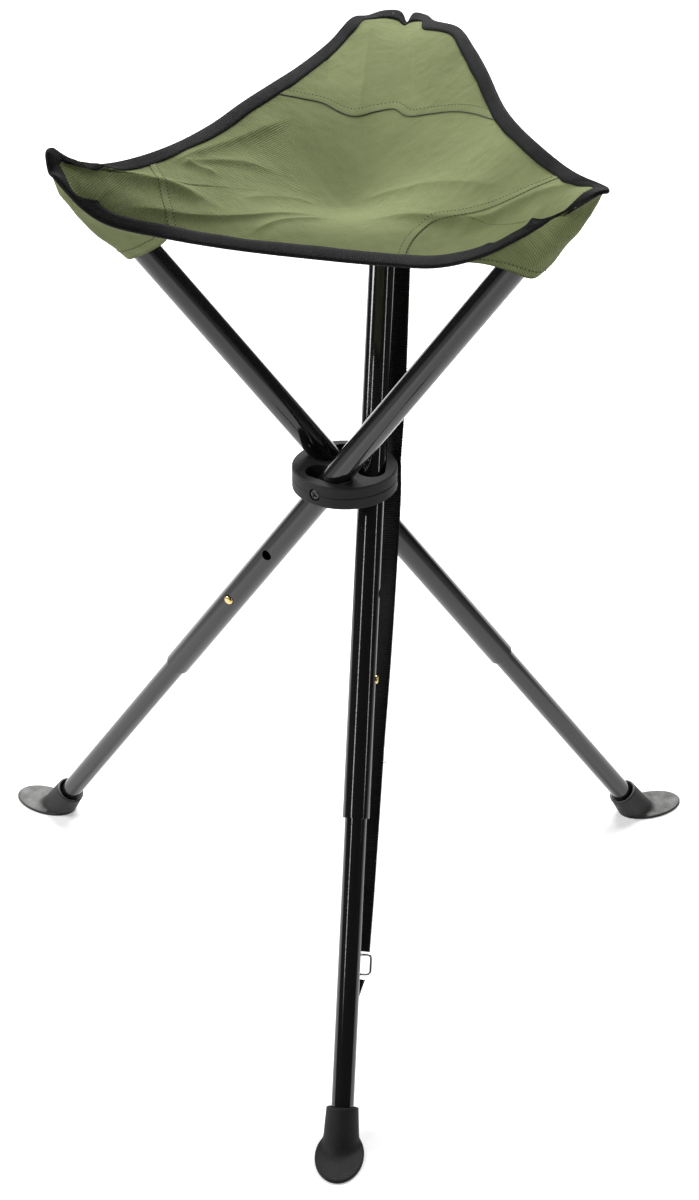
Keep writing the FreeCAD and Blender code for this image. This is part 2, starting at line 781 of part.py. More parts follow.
def make_strap_rivet():
    """Holds the tab's end to the back of the lower tube."""
    rivet = turned("strap_rivet", [
        ("0", "0"),
        ("dims.rivet_radius", "0"),
        ("dims.rivet_radius", "dims.rivet_shank"),
        ("dims.rivet_head_radius", "dims.rivet_shank"),
        ("dims.rivet_head_radius - dims.rivet_edge", "dims.rivet_length"),
        ("0", "dims.rivet_length"),
    ])
    toward_back = Rotation(Vector(1, 0, 0), -90)
    rivet.Placement = leg_frame(FRONT) * Placement(Vector(*RIVET), toward_back)


# ---------------------------------------------------------------- the stool

make_hub()
for leg, azimuth in LEG_AZIMUTHS.items():
    make_upper_tube(leg, azimuth)
    make_lower_tube(leg, azimuth)
    make_guide_bush(leg, azimuth)
    make_snap_button(leg, azimuth)
    make_button_spring(leg, azimuth)
    make_foot(leg, azimuth)
    make_pivot_screw(leg, azimuth)
    make_pivot_nut(leg, azimuth)
    make_top_cap(leg, azimuth)
    make_seat_pocket(leg, azimuth)
make_seat_panel()
make_edge_binding()
make_strap()
make_strap_ring()
make_strap_tab()
make_strap_rivet()
doc.recompute()

for item in doc.Objects:
    if "Invalid" in item.State or "Error" in item.State:
        raise RuntimeError(f"{item.Label} failed: {item.State}")

os.makedirs("parts", exist_ok=True)
box = FreeCAD.BoundBox()
for part in parts:
    if part.Shape.isNull() or not part.Shape.isValid() or part.Shape.Volume <= 0:
        raise RuntimeError(f"{part.Label} has no valid solid")
    box.add(part.Shape.BoundBox)
    part.Shape.exportStep(f"parts/{part.Label}.step")
print(len(parts), "parts, box", box)
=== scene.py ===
"""Looks of the three leg stool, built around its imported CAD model.

Metres, +Z up. Sizes of made pieces are in millimetres (times MM) in two frames: a leg's
own frame (Leg.at: X along the pivot screw, Y behind the leg, Z up the leg) and the seat's
frame (to_row: from the hub's centre, +X right, +Y back).
"""
import json
import math
import random

import bpy
import numpy as np
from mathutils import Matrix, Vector


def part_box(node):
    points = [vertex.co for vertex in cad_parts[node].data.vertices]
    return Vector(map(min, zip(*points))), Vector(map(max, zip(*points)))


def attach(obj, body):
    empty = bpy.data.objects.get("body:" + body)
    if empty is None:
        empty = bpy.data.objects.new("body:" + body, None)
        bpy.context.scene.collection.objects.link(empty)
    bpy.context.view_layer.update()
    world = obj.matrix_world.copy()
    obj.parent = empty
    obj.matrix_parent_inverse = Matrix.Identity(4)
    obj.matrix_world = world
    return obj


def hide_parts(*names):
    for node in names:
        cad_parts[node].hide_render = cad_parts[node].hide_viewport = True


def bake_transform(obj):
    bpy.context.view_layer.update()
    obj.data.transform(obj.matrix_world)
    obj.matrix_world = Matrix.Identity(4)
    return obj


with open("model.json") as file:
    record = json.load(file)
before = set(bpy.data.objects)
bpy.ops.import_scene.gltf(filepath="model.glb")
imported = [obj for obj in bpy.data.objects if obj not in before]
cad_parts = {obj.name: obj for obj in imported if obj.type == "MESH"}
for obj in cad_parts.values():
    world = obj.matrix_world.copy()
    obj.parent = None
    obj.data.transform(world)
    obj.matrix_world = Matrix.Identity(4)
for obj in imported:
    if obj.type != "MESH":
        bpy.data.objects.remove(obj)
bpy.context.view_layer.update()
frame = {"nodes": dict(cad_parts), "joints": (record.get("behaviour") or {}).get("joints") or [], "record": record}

MM = 0.001
random.seed(7)

JOINTS = {joint["name"]: joint for joint in frame["joints"]}
HUB_LOW, HUB_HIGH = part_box("hub")
HUB = (HUB_LOW + HUB_HIGH) / 2
UP = np.array((0.0, 0.0, 1.0))


class Leg:
    """A leg's own frame, read from its joints."""

    def __init__(self, name):
        fold, slide = JOINTS[name + "_fold"], JOINTS[name + "_telescope"]
        self.name = name
        self.pivot = Vector(fold["pos_m"])
        self.across = Vector(fold["axis"]).normalized()
        self.up = Vector(slide["axis"]).normalized()
        self.behind = self.up.cross(self.across)
        self.top_way = Vector((self.up.x, self.up.y, 0)).normalized()
        self.upper = name + "_upper"
        self.lower = name + "_lower"
        self.axes = np.array([self.across, self.behind, self.up])
        self.origin = np.array(self.pivot - HUB) / MM
        self.away = np.array(self.top_way)

    def at(self, x, y, z):
        return self.pivot + (self.across * x + self.behind * y + self.up * z) * MM

    def local(self, points):
        """Points of the seat's frame in this leg's frame, both in millimetres."""
        return (np.asarray(points) - self.origin) @ self.axes.T

    def to_seat(self, points):
        """Points of this leg's frame in the seat's frame, both in millimetres."""
        return np.asarray(points) @ self.axes + self.origin


LEGS = {name: Leg(name) for name in ("right", "left", "front")}


# ---------------------------------------------------------------- meshes and curves

def place_object(name, data):
    piece = bpy.data.objects.new(name, data)
    bpy.context.scene.collection.objects.link(piece)
    return piece


def add_mesh(name, points, faces, smooth=True, uv=None):
    """A mesh object; uv gives a pair of numbers, in metres, for each point."""
    mesh = bpy.data.meshes.new(name)
    mesh.from_pydata([tuple(p) for p in points], [], faces)
    mesh.polygons.foreach_set("use_smooth", [smooth] * len(mesh.polygons))
    if uv is not None:
        layer = mesh.uv_layers.new(name="UVMap")
        loops = np.zeros(len(mesh.loops), int)
        mesh.loops.foreach_get("vertex_index", loops)
        layer.data.foreach_set("uv", np.asarray(uv, float)[loops].ravel())
    mesh.update()
    return place_object(name, mesh)


def grid_faces(rows, columns, wrap_rows=False, wrap_columns=False, start=0):
    """Quads of a grid of points stored row by row."""
    faces = []
    for i in range(rows if wrap_rows else rows - 1):
        for j in range(columns if wrap_columns else columns - 1):
            ni, nj = (i + 1) % rows, (j + 1) % columns
            faces.append((start + i * columns + j, start + i * columns + nj,
                          start + ni * columns + nj, start + ni * columns + j))
    return faces


def add_faces(faces, count, more):
    """Append faces whose points come after the first count ones."""
    faces += [tuple(index + count for index in face) for face in more]


def travel_along(points):
    """The distance walked at each point of a line."""
    return np.r_[0, np.cumsum(np.linalg.norm(np.diff(points, axis=0), axis=1))]


def length_of(points):
    return float(travel_along(points)[-1])


def read_at(places, travel, values):
    """Rows of values, read between the given ones at places along travel."""
    return np.array([np.interp(places, travel, column) for column in np.asarray(values, float).T]).T


def smooth_step(t):
    t = np.clip(t, 0, 1)
    return t * t * (3 - 2 * t)


def curve_through(points, steps, closed=False):
    """A centripetal Catmull-Rom curve through points, evenly spaced along its length."""
    points = np.asarray(points, float)
    if closed:
        through = np.vstack([points[-1:], points, points[:2]])
    else:
        through = np.vstack([2 * points[:1] - points[1:2], points, 2 * points[-1:] - points[-2:-1]])
    fine = []
    for i in range(1, len(through) - 2):
        p0, p1, p2, p3 = through[i - 1:i + 3]
        a, b, c = (max(np.linalg.norm(q - p), 1e-9) ** 0.5 for p, q in ((p0, p1), (p1, p2), (p2, p3)))
        leave = ((p1 - p0) / a - (p2 - p0) / (a + b) + (p2 - p1) / b) * b
        arrive = ((p2 - p1) / b - (p3 - p1) / (b + c) + (p3 - p2) / c) * b
        for u in np.linspace(0, 1, 16, endpoint=False):
            fine.append((2 * u**3 - 3 * u**2 + 1) * p1 + (u**3 - 2 * u**2 + u) * leave
                        + (3 * u**2 - 2 * u**3) * p2 + (u**3 - u**2) * arrive)
    fine.append(through[1] if closed else through[-2])
    travel = travel_along(fine)
    return read_at(np.linspace(0, travel[-1], steps, endpoint=not closed), travel, fine)


def unit(vectors):
    return vectors / np.maximum(np.linalg.norm(vectors, axis=-1, keepdims=True), 1e-12)


# ---------------------------------------------------------------- materials

class Nodes:
    """Short calls for building a material's node tree."""

    def __init__(self, name):
        self.material = bpy.data.materials.new(name)
        self.material.use_nodes = True
        self.tree = self.material.node_tree
        self.shader = self.tree.nodes["Principled BSDF"]
        self.coordinates = self.tree.nodes.new("ShaderNodeTexCoord")

    def new(self, kind, **settings):
        node = self.tree.nodes.new("ShaderNode" + kind)
        for key, value in settings.items():
            if key in node.inputs:
                node.inputs[key].default_value = value
            else:
                setattr(node, key, value)
        return node

    def link(self, start, end):
        self.tree.links.new(start, end)

    def place(self, space="Object"):
        return self.coordinates.outputs[space]

    def noise(self, scale, detail=4.0, space="Object", stretch=(1, 1, 1), roughness=0.55):
        spread = self.new("Mapping")
        spread.inputs["Scale"].default_value = stretch
        self.link(self.place(space), spread.inputs["Vector"])
        node = self.new("TexNoise", Scale=scale, Detail=detail, Roughness=roughness)
        self.link(spread.outputs["Vector"], node.inputs["Vector"])
        return node.outputs["Fac"]

    def span(self, value, low, high, start=0.0, end=1.0):
        """Map a value's range start..end to low..high."""
        node = self.new("MapRange")
        for key, number in (("From Min", start), ("From Max", end), ("To Min", low), ("To Max", high)):
            node.inputs[key].default_value = number
        self.link(value, node.inputs["Value"])
        return node.outputs["Result"]

    def math(self, operation, first, second=None):
        node = self.new("Math", operation=operation)
        for socket, value in zip(node.inputs, (first, second)):
            if value is None:
                continue
            if isinstance(value, (int, float)):
                socket.default_value = value
            else:
                self.link(value, socket)
        return node.outputs["Value"]

    def mix(self, factor, first, second, blend="MIX"):
        node = self.new("Mix", data_type="RGBA", blend_type=blend)
        for index, value in ((0, factor), (6, first), (7, second)):
            if isinstance(value, (int, float)):
                node.inputs[index].default_value = value
            elif isinstance(value, tuple):
                node.inputs[index].default_value = (*value, 1)
            else:
                self.link(value, node.inputs[index])
        return node.outputs[2]

    def bump(self, height, distance, strength=1.0, after=None):
        node = self.new("Bump", Strength=strength, Distance=distance)
        self.link(height, node.inputs["Height"])
        if after is not None:
            self.link(after, node.inputs["Normal"])
        return node.outputs["Normal"]

    def wave(self, scale, direction="X", space="UV", turn=0.0, distortion=0.0):
        spread = self.new("Mapping")
        spread.inputs["Rotation"].default_value = (0, 0, math.radians(turn))
        self.link(self.place(space), spread.inputs["Vector"])
        node = self.new("TexWave", bands_direction=direction, Scale=scale, Distortion=distortion,
                        Detail=1.0)
        node.inputs["Detail Scale"].default_value = 2.0
        self.link(spread.outputs["Vector"], node.inputs["Vector"])
        return node.outputs["Fac"]

    def set(self, **values):
        """Set or link the shader's sockets; underscores stand for spaces."""
        for key, value in values.items():
            socket = self.shader.inputs[key.replace("_", " ")]
            if isinstance(value, bpy.types.NodeSocket):
                self.link(value, socket)
            elif isinstance(value, tuple):
                socket.default_value = (*value, 1)
            else:
                socket.default_value = value
        return self.material


def bands_per(period):
    """The wave texture's scale for one band per period, in metres."""
    return math.pi / 10 / period


def tube_coating():
    n = Nodes("gloss_black_coating")
    peel = n.noise(900, 2.0)
    dust = n.noise(2600, 1.0)
    patches = n.noise(35, 3.0)
    scratch = n.noise(700, 2.0, stretch=(1, 1, 0.06))
    worn = n.span(scratch, 0, 1, 0.72, 0.78)
    rough = n.math("ADD", n.span(patches, 0.045, 0.10), n.math("MULTIPLY", worn, 0.12))
    speck = n.span(dust, 0, 1, 0.74, 0.8)
    colour = n.mix(speck, (0.0075, 0.0075, 0.0085), (0.06, 0.06, 0.062))
    normal = n.bump(peel, 0.00006, 0.35)
    return n.set(Base_Color=colour, Roughness=rough, Normal=normal, IOR=1.6)


def hub_plastic():
    n = Nodes("hub_plastic")
    grain = n.noise(2300, 3.0)
    patches = n.noise(60, 4.0)
    flow = n.noise(240, 2.0, stretch=(1, 1, 6))
    colour = n.mix(patches, (0.013, 0.0134, 0.0142), (0.022, 0.0225, 0.0235))
    rough = n.span(n.math("ADD", patches, n.math("MULTIPLY", grain, 0.4)), 0.55, 0.74, 0.3, 1.1)
    normal = n.bump(flow, 0.0002, 0.25, n.bump(grain, 0.00009, 0.6))
    return n.set(Base_Color=colour, Roughness=rough, Normal=normal, Specular_IOR_Level=0.3)


def rubber(name, dust, gloss=0.35):
    """Matte rubber whose level faces are mixed towards a given grey: dust and painted light where that grey is
    pale, painted shade where it is darker than the rubber.
    """
    n = Nodes(name)
    grain = n.noise(1800, 3.0)
    patches = n.noise(90, 5.0)
    scuff = n.span(n.noise(420, 4.0, stretch=(1, 1, 0.3)), 0, 1, 0.6, 0.75)
    base = n.mix(patches, (0.014, 0.014, 0.014), (0.026, 0.026, 0.0255))
    level = n.new("SeparateXYZ")
    n.link(n.new("NewGeometry").outputs["Normal"], level.inputs["Vector"])
    # level faces take the given grey: pale on the side feet for dust and painted light, darker on the front foot
    # for painted shade
    upward = n.span(level.outputs["Z"], 0, 1, 0.6, 0.97)
    dust_and_light_mask = n.math("MULTIPLY", upward, n.span(patches, 0.35, 1.0, 0.3, 0.7))
    dust_and_light_toned = n.mix(dust_and_light_mask, base, (dust, dust, dust * 0.97))
    colour = n.mix(n.math("MULTIPLY", scuff, 0.25), dust_and_light_toned, (0.10, 0.10, 0.096))
    return n.set(Base_Color=colour, Roughness=n.span(grain, 0.50, 0.68),
                 Normal=n.bump(grain, 0.00012, 0.6), Specular_IOR_Level=gloss)


def moulded_plastic():
    n = Nodes("moulded_plastic")
    grain = n.noise(1500, 2.0)
    colour = n.mix(n.noise(80, 3.0), (0.020, 0.020, 0.021), (0.034, 0.034, 0.035))
    return n.set(Base_Color=colour, Roughness=n.span(grain, 0.38, 0.52),
                 Normal=n.bump(grain, 0.00006, 0.5))


def metal(name, dark, light, low_rough, high_rough, scale):
    n = Nodes(name)
    tarnish = n.noise(scale, 4.0)
    fine = n.noise(scale * 6, 2.0)
    return n.set(Base_Color=n.mix(tarnish, dark, light), Metallic=1.0,
                 Roughness=n.span(fine, low_rough, high_rough), Normal=n.bump(fine, 0.00003, 0.4))


def twill(name, dark, light, turn=35.0):
    """Polyester twill: fine diagonal ribs over crossing yarns, faded a little in patches."""
    n = Nodes(name)
    rib = n.wave(bands_per(0.0013), turn=turn)
    yarn = n.wave(bands_per(0.0007), turn=turn + 62, distortion=0.4)
    cloud = n.noise(14, 4.0, space="UV")
    slub = n.noise(420, 3.0, space="UV", stretch=(1, 5, 1))
    base = n.mix(n.span(cloud, 0, 1, 0.3, 0.7), dark, light)
    shade = n.span(n.math("ADD", n.math("MULTIPLY", rib, 0.7), n.math("MULTIPLY", slub, 0.6)), 0.62, 1.24)
    grey = n.new("CombineColor")
    for socket in grey.inputs[:3]:
        n.link(shade, socket)
    colour = n.mix(1.0, base, grey.outputs["Color"], blend="MULTIPLY")
    weave = n.math("ADD", rib, n.math("MULTIPLY", yarn, 0.45))
    crumple = n.noise(120, 3.0, space="UV")
    dents = n.noise(34, 2.0, space="UV")
    normal = n.bump(dents, 0.007, 0.38, n.bump(crumple, 0.0022, 0.4, n.bump(weave, 0.00034, 0.9)))
    return n.set(Base_Color=colour, Roughness=n.span(slub, 0.72, 0.86), Normal=normal,
                 Specular_IOR_Level=0.12, Sheen_Weight=0.10, Sheen_Roughness=0.5)


def ribbed_tape(name, period, dark, light):
    """Woven tape: cross ribs and the finer yarns over them."""
    n = Nodes(name)
    rib = n.wave(bands_per(period), direction="Y")
    yarn = n.wave(bands_per(period * 0.6), direction="X", distortion=0.5)
    lint = n.span(n.noise(1500, 2.0, space="UV"), 0, 1, 0.66, 0.8)
    base = n.mix(rib, dark, light)
    colour = n.mix(n.math("MULTIPLY", lint, 0.3), base, (0.10, 0.10, 0.10))
    height = n.math("ADD", rib, n.math("MULTIPLY", yarn, 0.35))
    return n.set(Base_Color=colour, Roughness=n.span(n.noise(90, 3.0), 0.62, 0.8),
                 Normal=n.bump(height, 0.00030, 0.9), Specular_IOR_Level=0.2)


def thread(name, dark, light):
    n = Nodes(name)
    twist = n.wave(bands_per(0.0005), space="Object", turn=30)
    return n.set(Base_Color=n.mix(twist, dark, light), Roughness=0.7,
                 Normal=n.bump(twist, 0.0001, 0.5), Sheen_Weight=0.2)


def floor_paper():
    """A white sweep under and behind the stool that glows more with distance; pale grey beside it."""
    n = Nodes("floor_paper")
    distance = n.new("VectorMath", operation="LENGTH")
    n.link(n.place(), distance.inputs[0])
    glow = n.span(distance.outputs["Value"], 0.34, 0.98, 0.5, 2.6)
    place = n.new("SeparateXYZ")
    n.link(n.place(), place.inputs["Vector"])
    ahead = n.span(place.outputs["Y"], 0, 1, -1.6, -0.8)
    wider = n.span(place.outputs["Y"], 0, 2.0, 0.3, 2.5)
    sideways = n.math("SUBTRACT", n.math("ABSOLUTE", place.outputs["X"]), wider)
    beside = n.span(sideways, 1, 0, 0.62, 1.15)
    lit = n.math("MULTIPLY", ahead, beside)
    grain = n.noise(60, 3.0)
    white = n.mix(grain, (0.86, 0.86, 0.86), (0.90, 0.90, 0.90))
    colour = n.mix(lit, (0.46, 0.46, 0.46), white)
    return n.set(Base_Color=colour, Roughness=0.7, Normal=n.bump(grain, 0.0002, 0.1),
                 Emission_Color=(1.0, 1.0, 1.0), Emission_Strength=n.math("MULTIPLY", glow, lit))


OLIVE_DARK, OLIVE_LIGHT = (0.186, 0.218, 0.089), (0.222, 0.256, 0.107)
BLACK_TAPE = (0.002, 0.002, 0.0023), (0.009, 0.009, 0.0094)

MATERIALS = {
    "tube_coating": tube_coating(),
    "hub_plastic": hub_plastic(),
    "bush_plastic": moulded_plastic(),
    # side feet: level faces mixed to pale grey, dust and painted light
    "foot_rubber": rubber("foot_rubber", 0.26),
    "button_brass": metal("button_brass", (0.62, 0.44, 0.17), (0.86, 0.66, 0.32), 0.14, 0.26, 300),
    "spring_steel": metal("spring_steel", (0.40, 0.40, 0.40), (0.55, 0.55, 0.56), 0.28, 0.42, 200),
    "screw_steel": metal("screw_steel", (0.05, 0.05, 0.052), (0.11, 0.11, 0.115), 0.32, 0.5, 400),
    "ring_steel": metal("ring_steel", (0.70, 0.70, 0.71), (0.85, 0.85, 0.86), 0.14, 0.25, 250),
    "seat_fabric": twill("seat_twill", OLIVE_DARK, OLIVE_LIGHT),
    "binding_tape": ribbed_tape("binding_tape", 0.0019, *BLACK_TAPE),
    "strap_webbing": ribbed_tape("strap_webbing", 0.0020, *BLACK_TAPE),
}
# Dark olive thread for the stitches; the same material makes the dark cord of painted shade along the front seam.
OLIVE_THREAD_AND_SHADE = thread("olive_thread_and_shade", (0.014, 0.018, 0.007), (0.030, 0.037, 0.014))
# A copy of the rubber for the front foot: its level faces are painted darker than the rubber as painted shade, and
# it is less glossy.
SHADED_TOP_RUBBER = rubber("shaded_top_foot_rubber", 0.012, 0.18)
BLACK_THREAD = thread("black_thread", (0.004, 0.004, 0.004), (0.02, 0.02, 0.02))


def finish_piece(piece, slot, material=None):
    piece.data.materials.clear()
    piece.data.materials.append(material or MATERIALS[slot])
    return piece


def paint_cad_nodes():
    slots = {part["node"]: part["material_slot"] for part in frame["record"]["subparts"]}
    for name, node in frame["nodes"].items():
        node.data.materials.clear()
        node.data.materials.append(MATERIALS[slots[name]])


# ---------------------------------------------------------------- seat: edge and surface

# The seat's edge, walked round from the corner over the right leg. All in millimetres.
# At each corner: (along the pivot screw's line, outward, height), from the corner's tip.
CORNERS = {
    "right": [(10, -4, -3), (5, 2, -3), (-2, 3, -16), (-9, 2, -17)],
    "left": [(12, 2, -8), (7, 13, 1), (-2, 15, 0), (-12, 2, -2)],
    "front": [(26, -1, 1), (17, 0, 2), (11, -4, -5), (5, 0, 3), (-8, 1, 3), (-21, -3, 0)],
}
# Along each edge: (share of the way to the next corner, outward, height), from the tips.
EDGES = {
    ("right", "left"): [(0.05, 5, -39), (0.1, 3, -53), (0.2, -3, -63), (0.32, -10, -71),
                        (0.5, -14, -76), (0.62, -14, -77), (0.72, -12, -75), (0.8, -9, -64),
                        (0.87, -6, -47), (0.94, -1, -26)],
    ("left", "front"): [(0.06, 8, -4), (0.14, 8, -8), (0.24, 2, -4), (0.36, 4, -5),
                        (0.48, 11, -6), (0.6, 18, 3), (0.7, 23, 8), (0.79, 24, 13), (0.87, 17, 9)],
    ("front", "right"): [(0.1, 12, 5), (0.18, 8, -5), (0.3, 1, -12), (0.4, -4, -15),
                         (0.5, -9, -18), (0.6, -12, -24), (0.72, -11, -28), (0.84, -6, -27),
                         (0.92, -3, -21), (0.965, -1, -15)],
}
CORNER_REACH = 226.5
CORNER_HEIGHT = 309.0
LEG_OFFSET = (LEGS["front"].pivot - HUB).length / MM
MIDDLE_HEIGHT = 232.0
RIM_STEPS = 720
RINGS = 96
SHEET_THICKNESS = 0.9


def corner_point(leg, across=0.0, outward=0.0, height=0.0):
    own = LEGS[leg]
    return (own.away * (CORNER_REACH + outward) + own.axes[0] * (LEG_OFFSET + across)
            + UP * (CORNER_HEIGHT + height))


def seat_rim():
    points = []
    for (first, second), offsets in EDGES.items():
        points += [corner_point(first, *offset) for offset in CORNERS[first]]
        start, end = corner_point(first), corner_point(second)
        run = end - start
        outside = unit(np.array([run[1], -run[0], 0.0]))
        if outside @ (start + end) < 0:
            outside = -outside
        for share, outward, height in offsets:
            points.append(start + run * share + outside * outward + UP * height)
    return curve_through(points, RIM_STEPS, closed=True)


RIM = seat_rim()
SCALE = 100.0        # keeps the surface's equations well conditioned


class Dish:
    """The smooth surface that spans the edge and passes the given points inside it."""

    def __init__(self, inside):
        known = np.vstack([RIM[::6], np.array(inside, float)])
        self.places = known[:, :2] / SCALE
        count = len(known)
        system = np.zeros((count + 3, count + 3))
        system[:count, :count] = self.kernel(self.places)
        system[:count, count] = 1
        system[:count, count + 1:] = self.places
        system[count:, :count] = system[:count, count:].T
        self.weights = np.linalg.solve(system, np.r_[known[:, 2], 0, 0, 0])

    def kernel(self, places):
        square = ((places[:, None] - self.places[None]) ** 2).sum(-1)
        return 0.5 * square * np.log(np.maximum(square, 1e-9))

    def height(self, places):
        places = np.asarray(places, float) / SCALE
        return self.kernel(places) @ self.weights[:-3] + self.weights[-3] + places @ self.weights[-2:]


def polar(azimuth, radius):
    angle = math.radians(azimuth)
    return np.array([math.cos(angle), math.sin(angle)]) * radius


# The front edge hangs from a lip: (rim step, distance inside the edge, rise over it).
FRONT_LIP = [(34, 10, 12), (44, 12, 14), (54, 14, 14), (64, 16, 13), (78, 20, 12), (95, 22, 11),
             (115, 22, 11), (135, 22, 11), (155, 22, 11), (175, 22, 11), (192, 21, 11), (206, 18, 11),
             (220, 14, 11), (234, 11, 10), (246, 8, 8)]


def lip_point(step, reach, rise):
    run = unit(RIM[step + 8, :2] - RIM[step - 8, :2])
    inside = np.array([-run[1], run[0]])
    if inside @ RIM[step, :2] > 0:
        inside = -inside
    return RIM[step] + (*(inside * reach), rise)


DISH = Dish([(0, 0, MIDDLE_HEIGHT), *(lip_point(*lip) for lip in FRONT_LIP)])

# Folds in the stretched cloth: points as (azimuth, radius), the rise, and the half widths on
# the left and on the right of the way the points run.
CREASES = [
    ([(-158, 222), (-158.5, 205), (-158, 185), (-156, 143), (-150, 120), (-142, 107)], 7.0, 7.0, 6.0),
    ([(-166, 138), (-177, 111), (163, 87), (118, 88)], 3.0, 10.0, 4.0),
    ([(-168, 128), (-178, 89), (174, 66), (171, 50)], 2.2, 7.0, 3.0),
    ([(-151, 186), (-148, 157), (-144, 132), (-133, 88), (-91, 40)], 2.6, 9.0, 3.0),
    ([(-128, 108), (-123, 81), (-89, 48)], 1.6, 5.0, 2.5),
    ([(-148, 91), (-153, 53), (-173, 19)], 1.5, 8.0, 4.0),
    ([(-32, 220), (-32, 190), (-34, 158), (-37, 142), (-41, 104), (-54, 64), (-80, 56)], 3.6, 4.0, 12.0),
    ([(52, 3), (17, 22), (-7, 54), (-24, 107), (-29, 150)], 2.4, 9.0, 5.0),
    ([(-170, 124), (-168, 109), (-166, 95)], 2.6, 4.0, 4.0),
    ([(82, 224), (76, 166), (71, 133), (62, 101), (60, 86)], -3.6, 7.0, 9.0),
    ([(89, 206), (88, 150), (87, 91), (86, 70)], 3.0, 8.0, 6.0),
    ([(101, 200), (100, 150), (103, 105)], -1.8, 7.0, 7.0),
    ([(70, 210), (62, 165), (55, 130)], 2.2, 8.0, 8.0),
]


def distance_to(places, line):
    """Distance from places to a polyline, the share of its length there, and the side."""
    near = np.full(len(places), 1e9)
    left = np.zeros(len(places), bool)
    share = np.zeros(len(places))
    lengths = np.linalg.norm(np.diff(line, axis=0), axis=1)
    total, before = lengths.sum(), 0.0
    for start, end, length in zip(line, line[1:], lengths):
        run = end - start
        t = np.clip(((places - start) @ run) / length**2, 0, 1)
        distance = np.linalg.norm(places - (start + t[:, None] * run), axis=1)
        closer = distance < near
        near[closer] = distance[closer]
        left[closer] = (run[0] * (places - start)[:, 1] - run[1] * (places - start)[:, 0])[closer] > 0
        share[closer] = (before + t[closer] * length) / total
        before += length
    return near, share, left


CREASE_LINES = [(curve_through([polar(*p) for p in points], 24), *sizes) for points, *sizes in CREASES]
TENT_RADIUS = 12.5      # the tube and the cloth over it
TENT_EDGE = 11.8        # beyond this the cloth leaves the tube on a slope
TENT_BLEND = 2.0        # how softly the cloth settles on the tubes
TENT_DROP = 10.0        # the larger, the slower the cloth falls past a tube's end
TUBE_END = 331.0        # up the leg


def tube_tent(places):
    """The lowest that cloth can lie over the ends of the upper tubes."""
    tops = []
    edge = math.sqrt(TENT_RADIUS**2 - TENT_EDGE**2)
    for leg in LEGS.values():
        x, y, s = leg.local(np.c_[places, np.zeros(len(places))]).T
        near = np.sqrt(np.maximum(TENT_RADIUS**2 - x**2, 0))
        far = edge - (abs(x) - TENT_EDGE) * TENT_EDGE / edge
        rise = np.where(abs(x) < TENT_EDGE, near, far)
        z = (-rise - y) / leg.behind.z
        beyond = np.maximum(s + z * leg.up.z - TUBE_END, 0)
        tops.append(z - beyond**2 / TENT_DROP)
    return np.max(tops, axis=0)


def seat_height(places):
    """Height of the seat's top over the hub's centre, folds included."""
    places = np.asarray(places, float).reshape(-1, 2)
    height = DISH.height(places)
    for line, rise, left_half, right_half in CREASE_LINES:
        distance, share, left = distance_to(places, line)
        fade = smooth_step(share / 0.2) * smooth_step((1 - share) / 0.3)
        half = np.where(left, left_half, right_half)
        height = height + rise * fade * np.exp(-(distance / half) ** 1.35)
    tent = tube_tent(places)
    return np.logaddexp(height / TENT_BLEND, tent / TENT_BLEND) * TENT_BLEND


def to_row(points):
    return np.array(HUB) + np.asarray(points) * MM


def rim_split():
    """The rim's steps nearest the middles of the three edges, in walking order."""
    azimuths = np.degrees(np.arctan2(RIM[:, 1], RIM[:, 0]))
    middles = []
    for leg in LEGS.values():
        opposite = math.degrees(math.atan2(-leg.top_way.y, -leg.top_way.x))
        gap = (azimuths - opposite + 180) % 360 - 180
        middles.append(int(np.argmin(abs(gap))))
    return sorted(middles)


SPLITS = rim_split()


def corner_of(step):
    """The leg whose corner a rim step belongs to."""
    place = RIM[step % RIM_STEPS]
    return max(LEGS, key=lambda name: float(LEGS[name].away @ place))


def sectors():
    """(leg, the rim steps of its corner) for each corner; neighbours share their end steps."""
    for start, end in zip(SPLITS, SPLITS[1:] + [SPLITS[0] + RIM_STEPS]):
        steps = [step % RIM_STEPS for step in range(start, end + 1)]
        yield corner_of((start + end) // 2), steps


def follow_leg(piece):
    """Bakes the piece's placement into its mesh; the cloth is tied to neither the hub nor a leg."""
    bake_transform(piece)


def sew(piece, material=None):
    finish_piece(piece, "seat_fabric", material)
    follow_leg(piece)


RING_SPREAD = 0.85       # below 1, the rings crowd towards the edge
SETTLE_FROM = 0.93       # the share of the radius from which the surface settles onto the edge


def seat_surface():
    """Each ring's share of the radius, and the points of the whole seat's top, ring by ring."""
    shares = (np.linspace(0, 1, RINGS) ** RING_SPREAD)[1:]
    grid = np.zeros((len(shares), RIM_STEPS, 3))
    for row, share in enumerate(shares):
        grid[row, :, :2] = RIM[:, :2] * share
        grid[row, :, 2] = seat_height(grid[row, :, :2])
    settle = smooth_step((shares - SETTLE_FROM) / (1 - SETTLE_FROM))[:, None]
    grid[:, :, 2] += (RIM[:, 2] - grid[-1, :, 2]) * settle
    return shares, grid


def surface_normals(grid):
    along = np.roll(grid, -1, 1) - np.roll(grid, 1, 1)
    outward = np.gradient(grid, axis=0)
    normal = unit(np.cross(outward, along))
    normal[normal[:, :, 2] < 0] *= -1
    return normal


SHARES, SEAT = seat_surface()
SEAT_NORMAL = surface_normals(SEAT)


def set_normals(piece, normals):
    piece.data.normals_split_custom_set_from_vertices([tuple(n) for n in normals])


def edge_length(first, second):
    """The taped edge's length from one rim step on to another, in metres."""
    count = (second - first) % RIM_STEPS
    return length_of(RIM[[(first + k) % RIM_STEPS for k in range(count + 1)]]) * MM


def triangle_area(a, b, c):
    half = (a + b + c) / 2
    return math.sqrt(max(half * (half - a) * (half - b) * (half - c), 0.0))


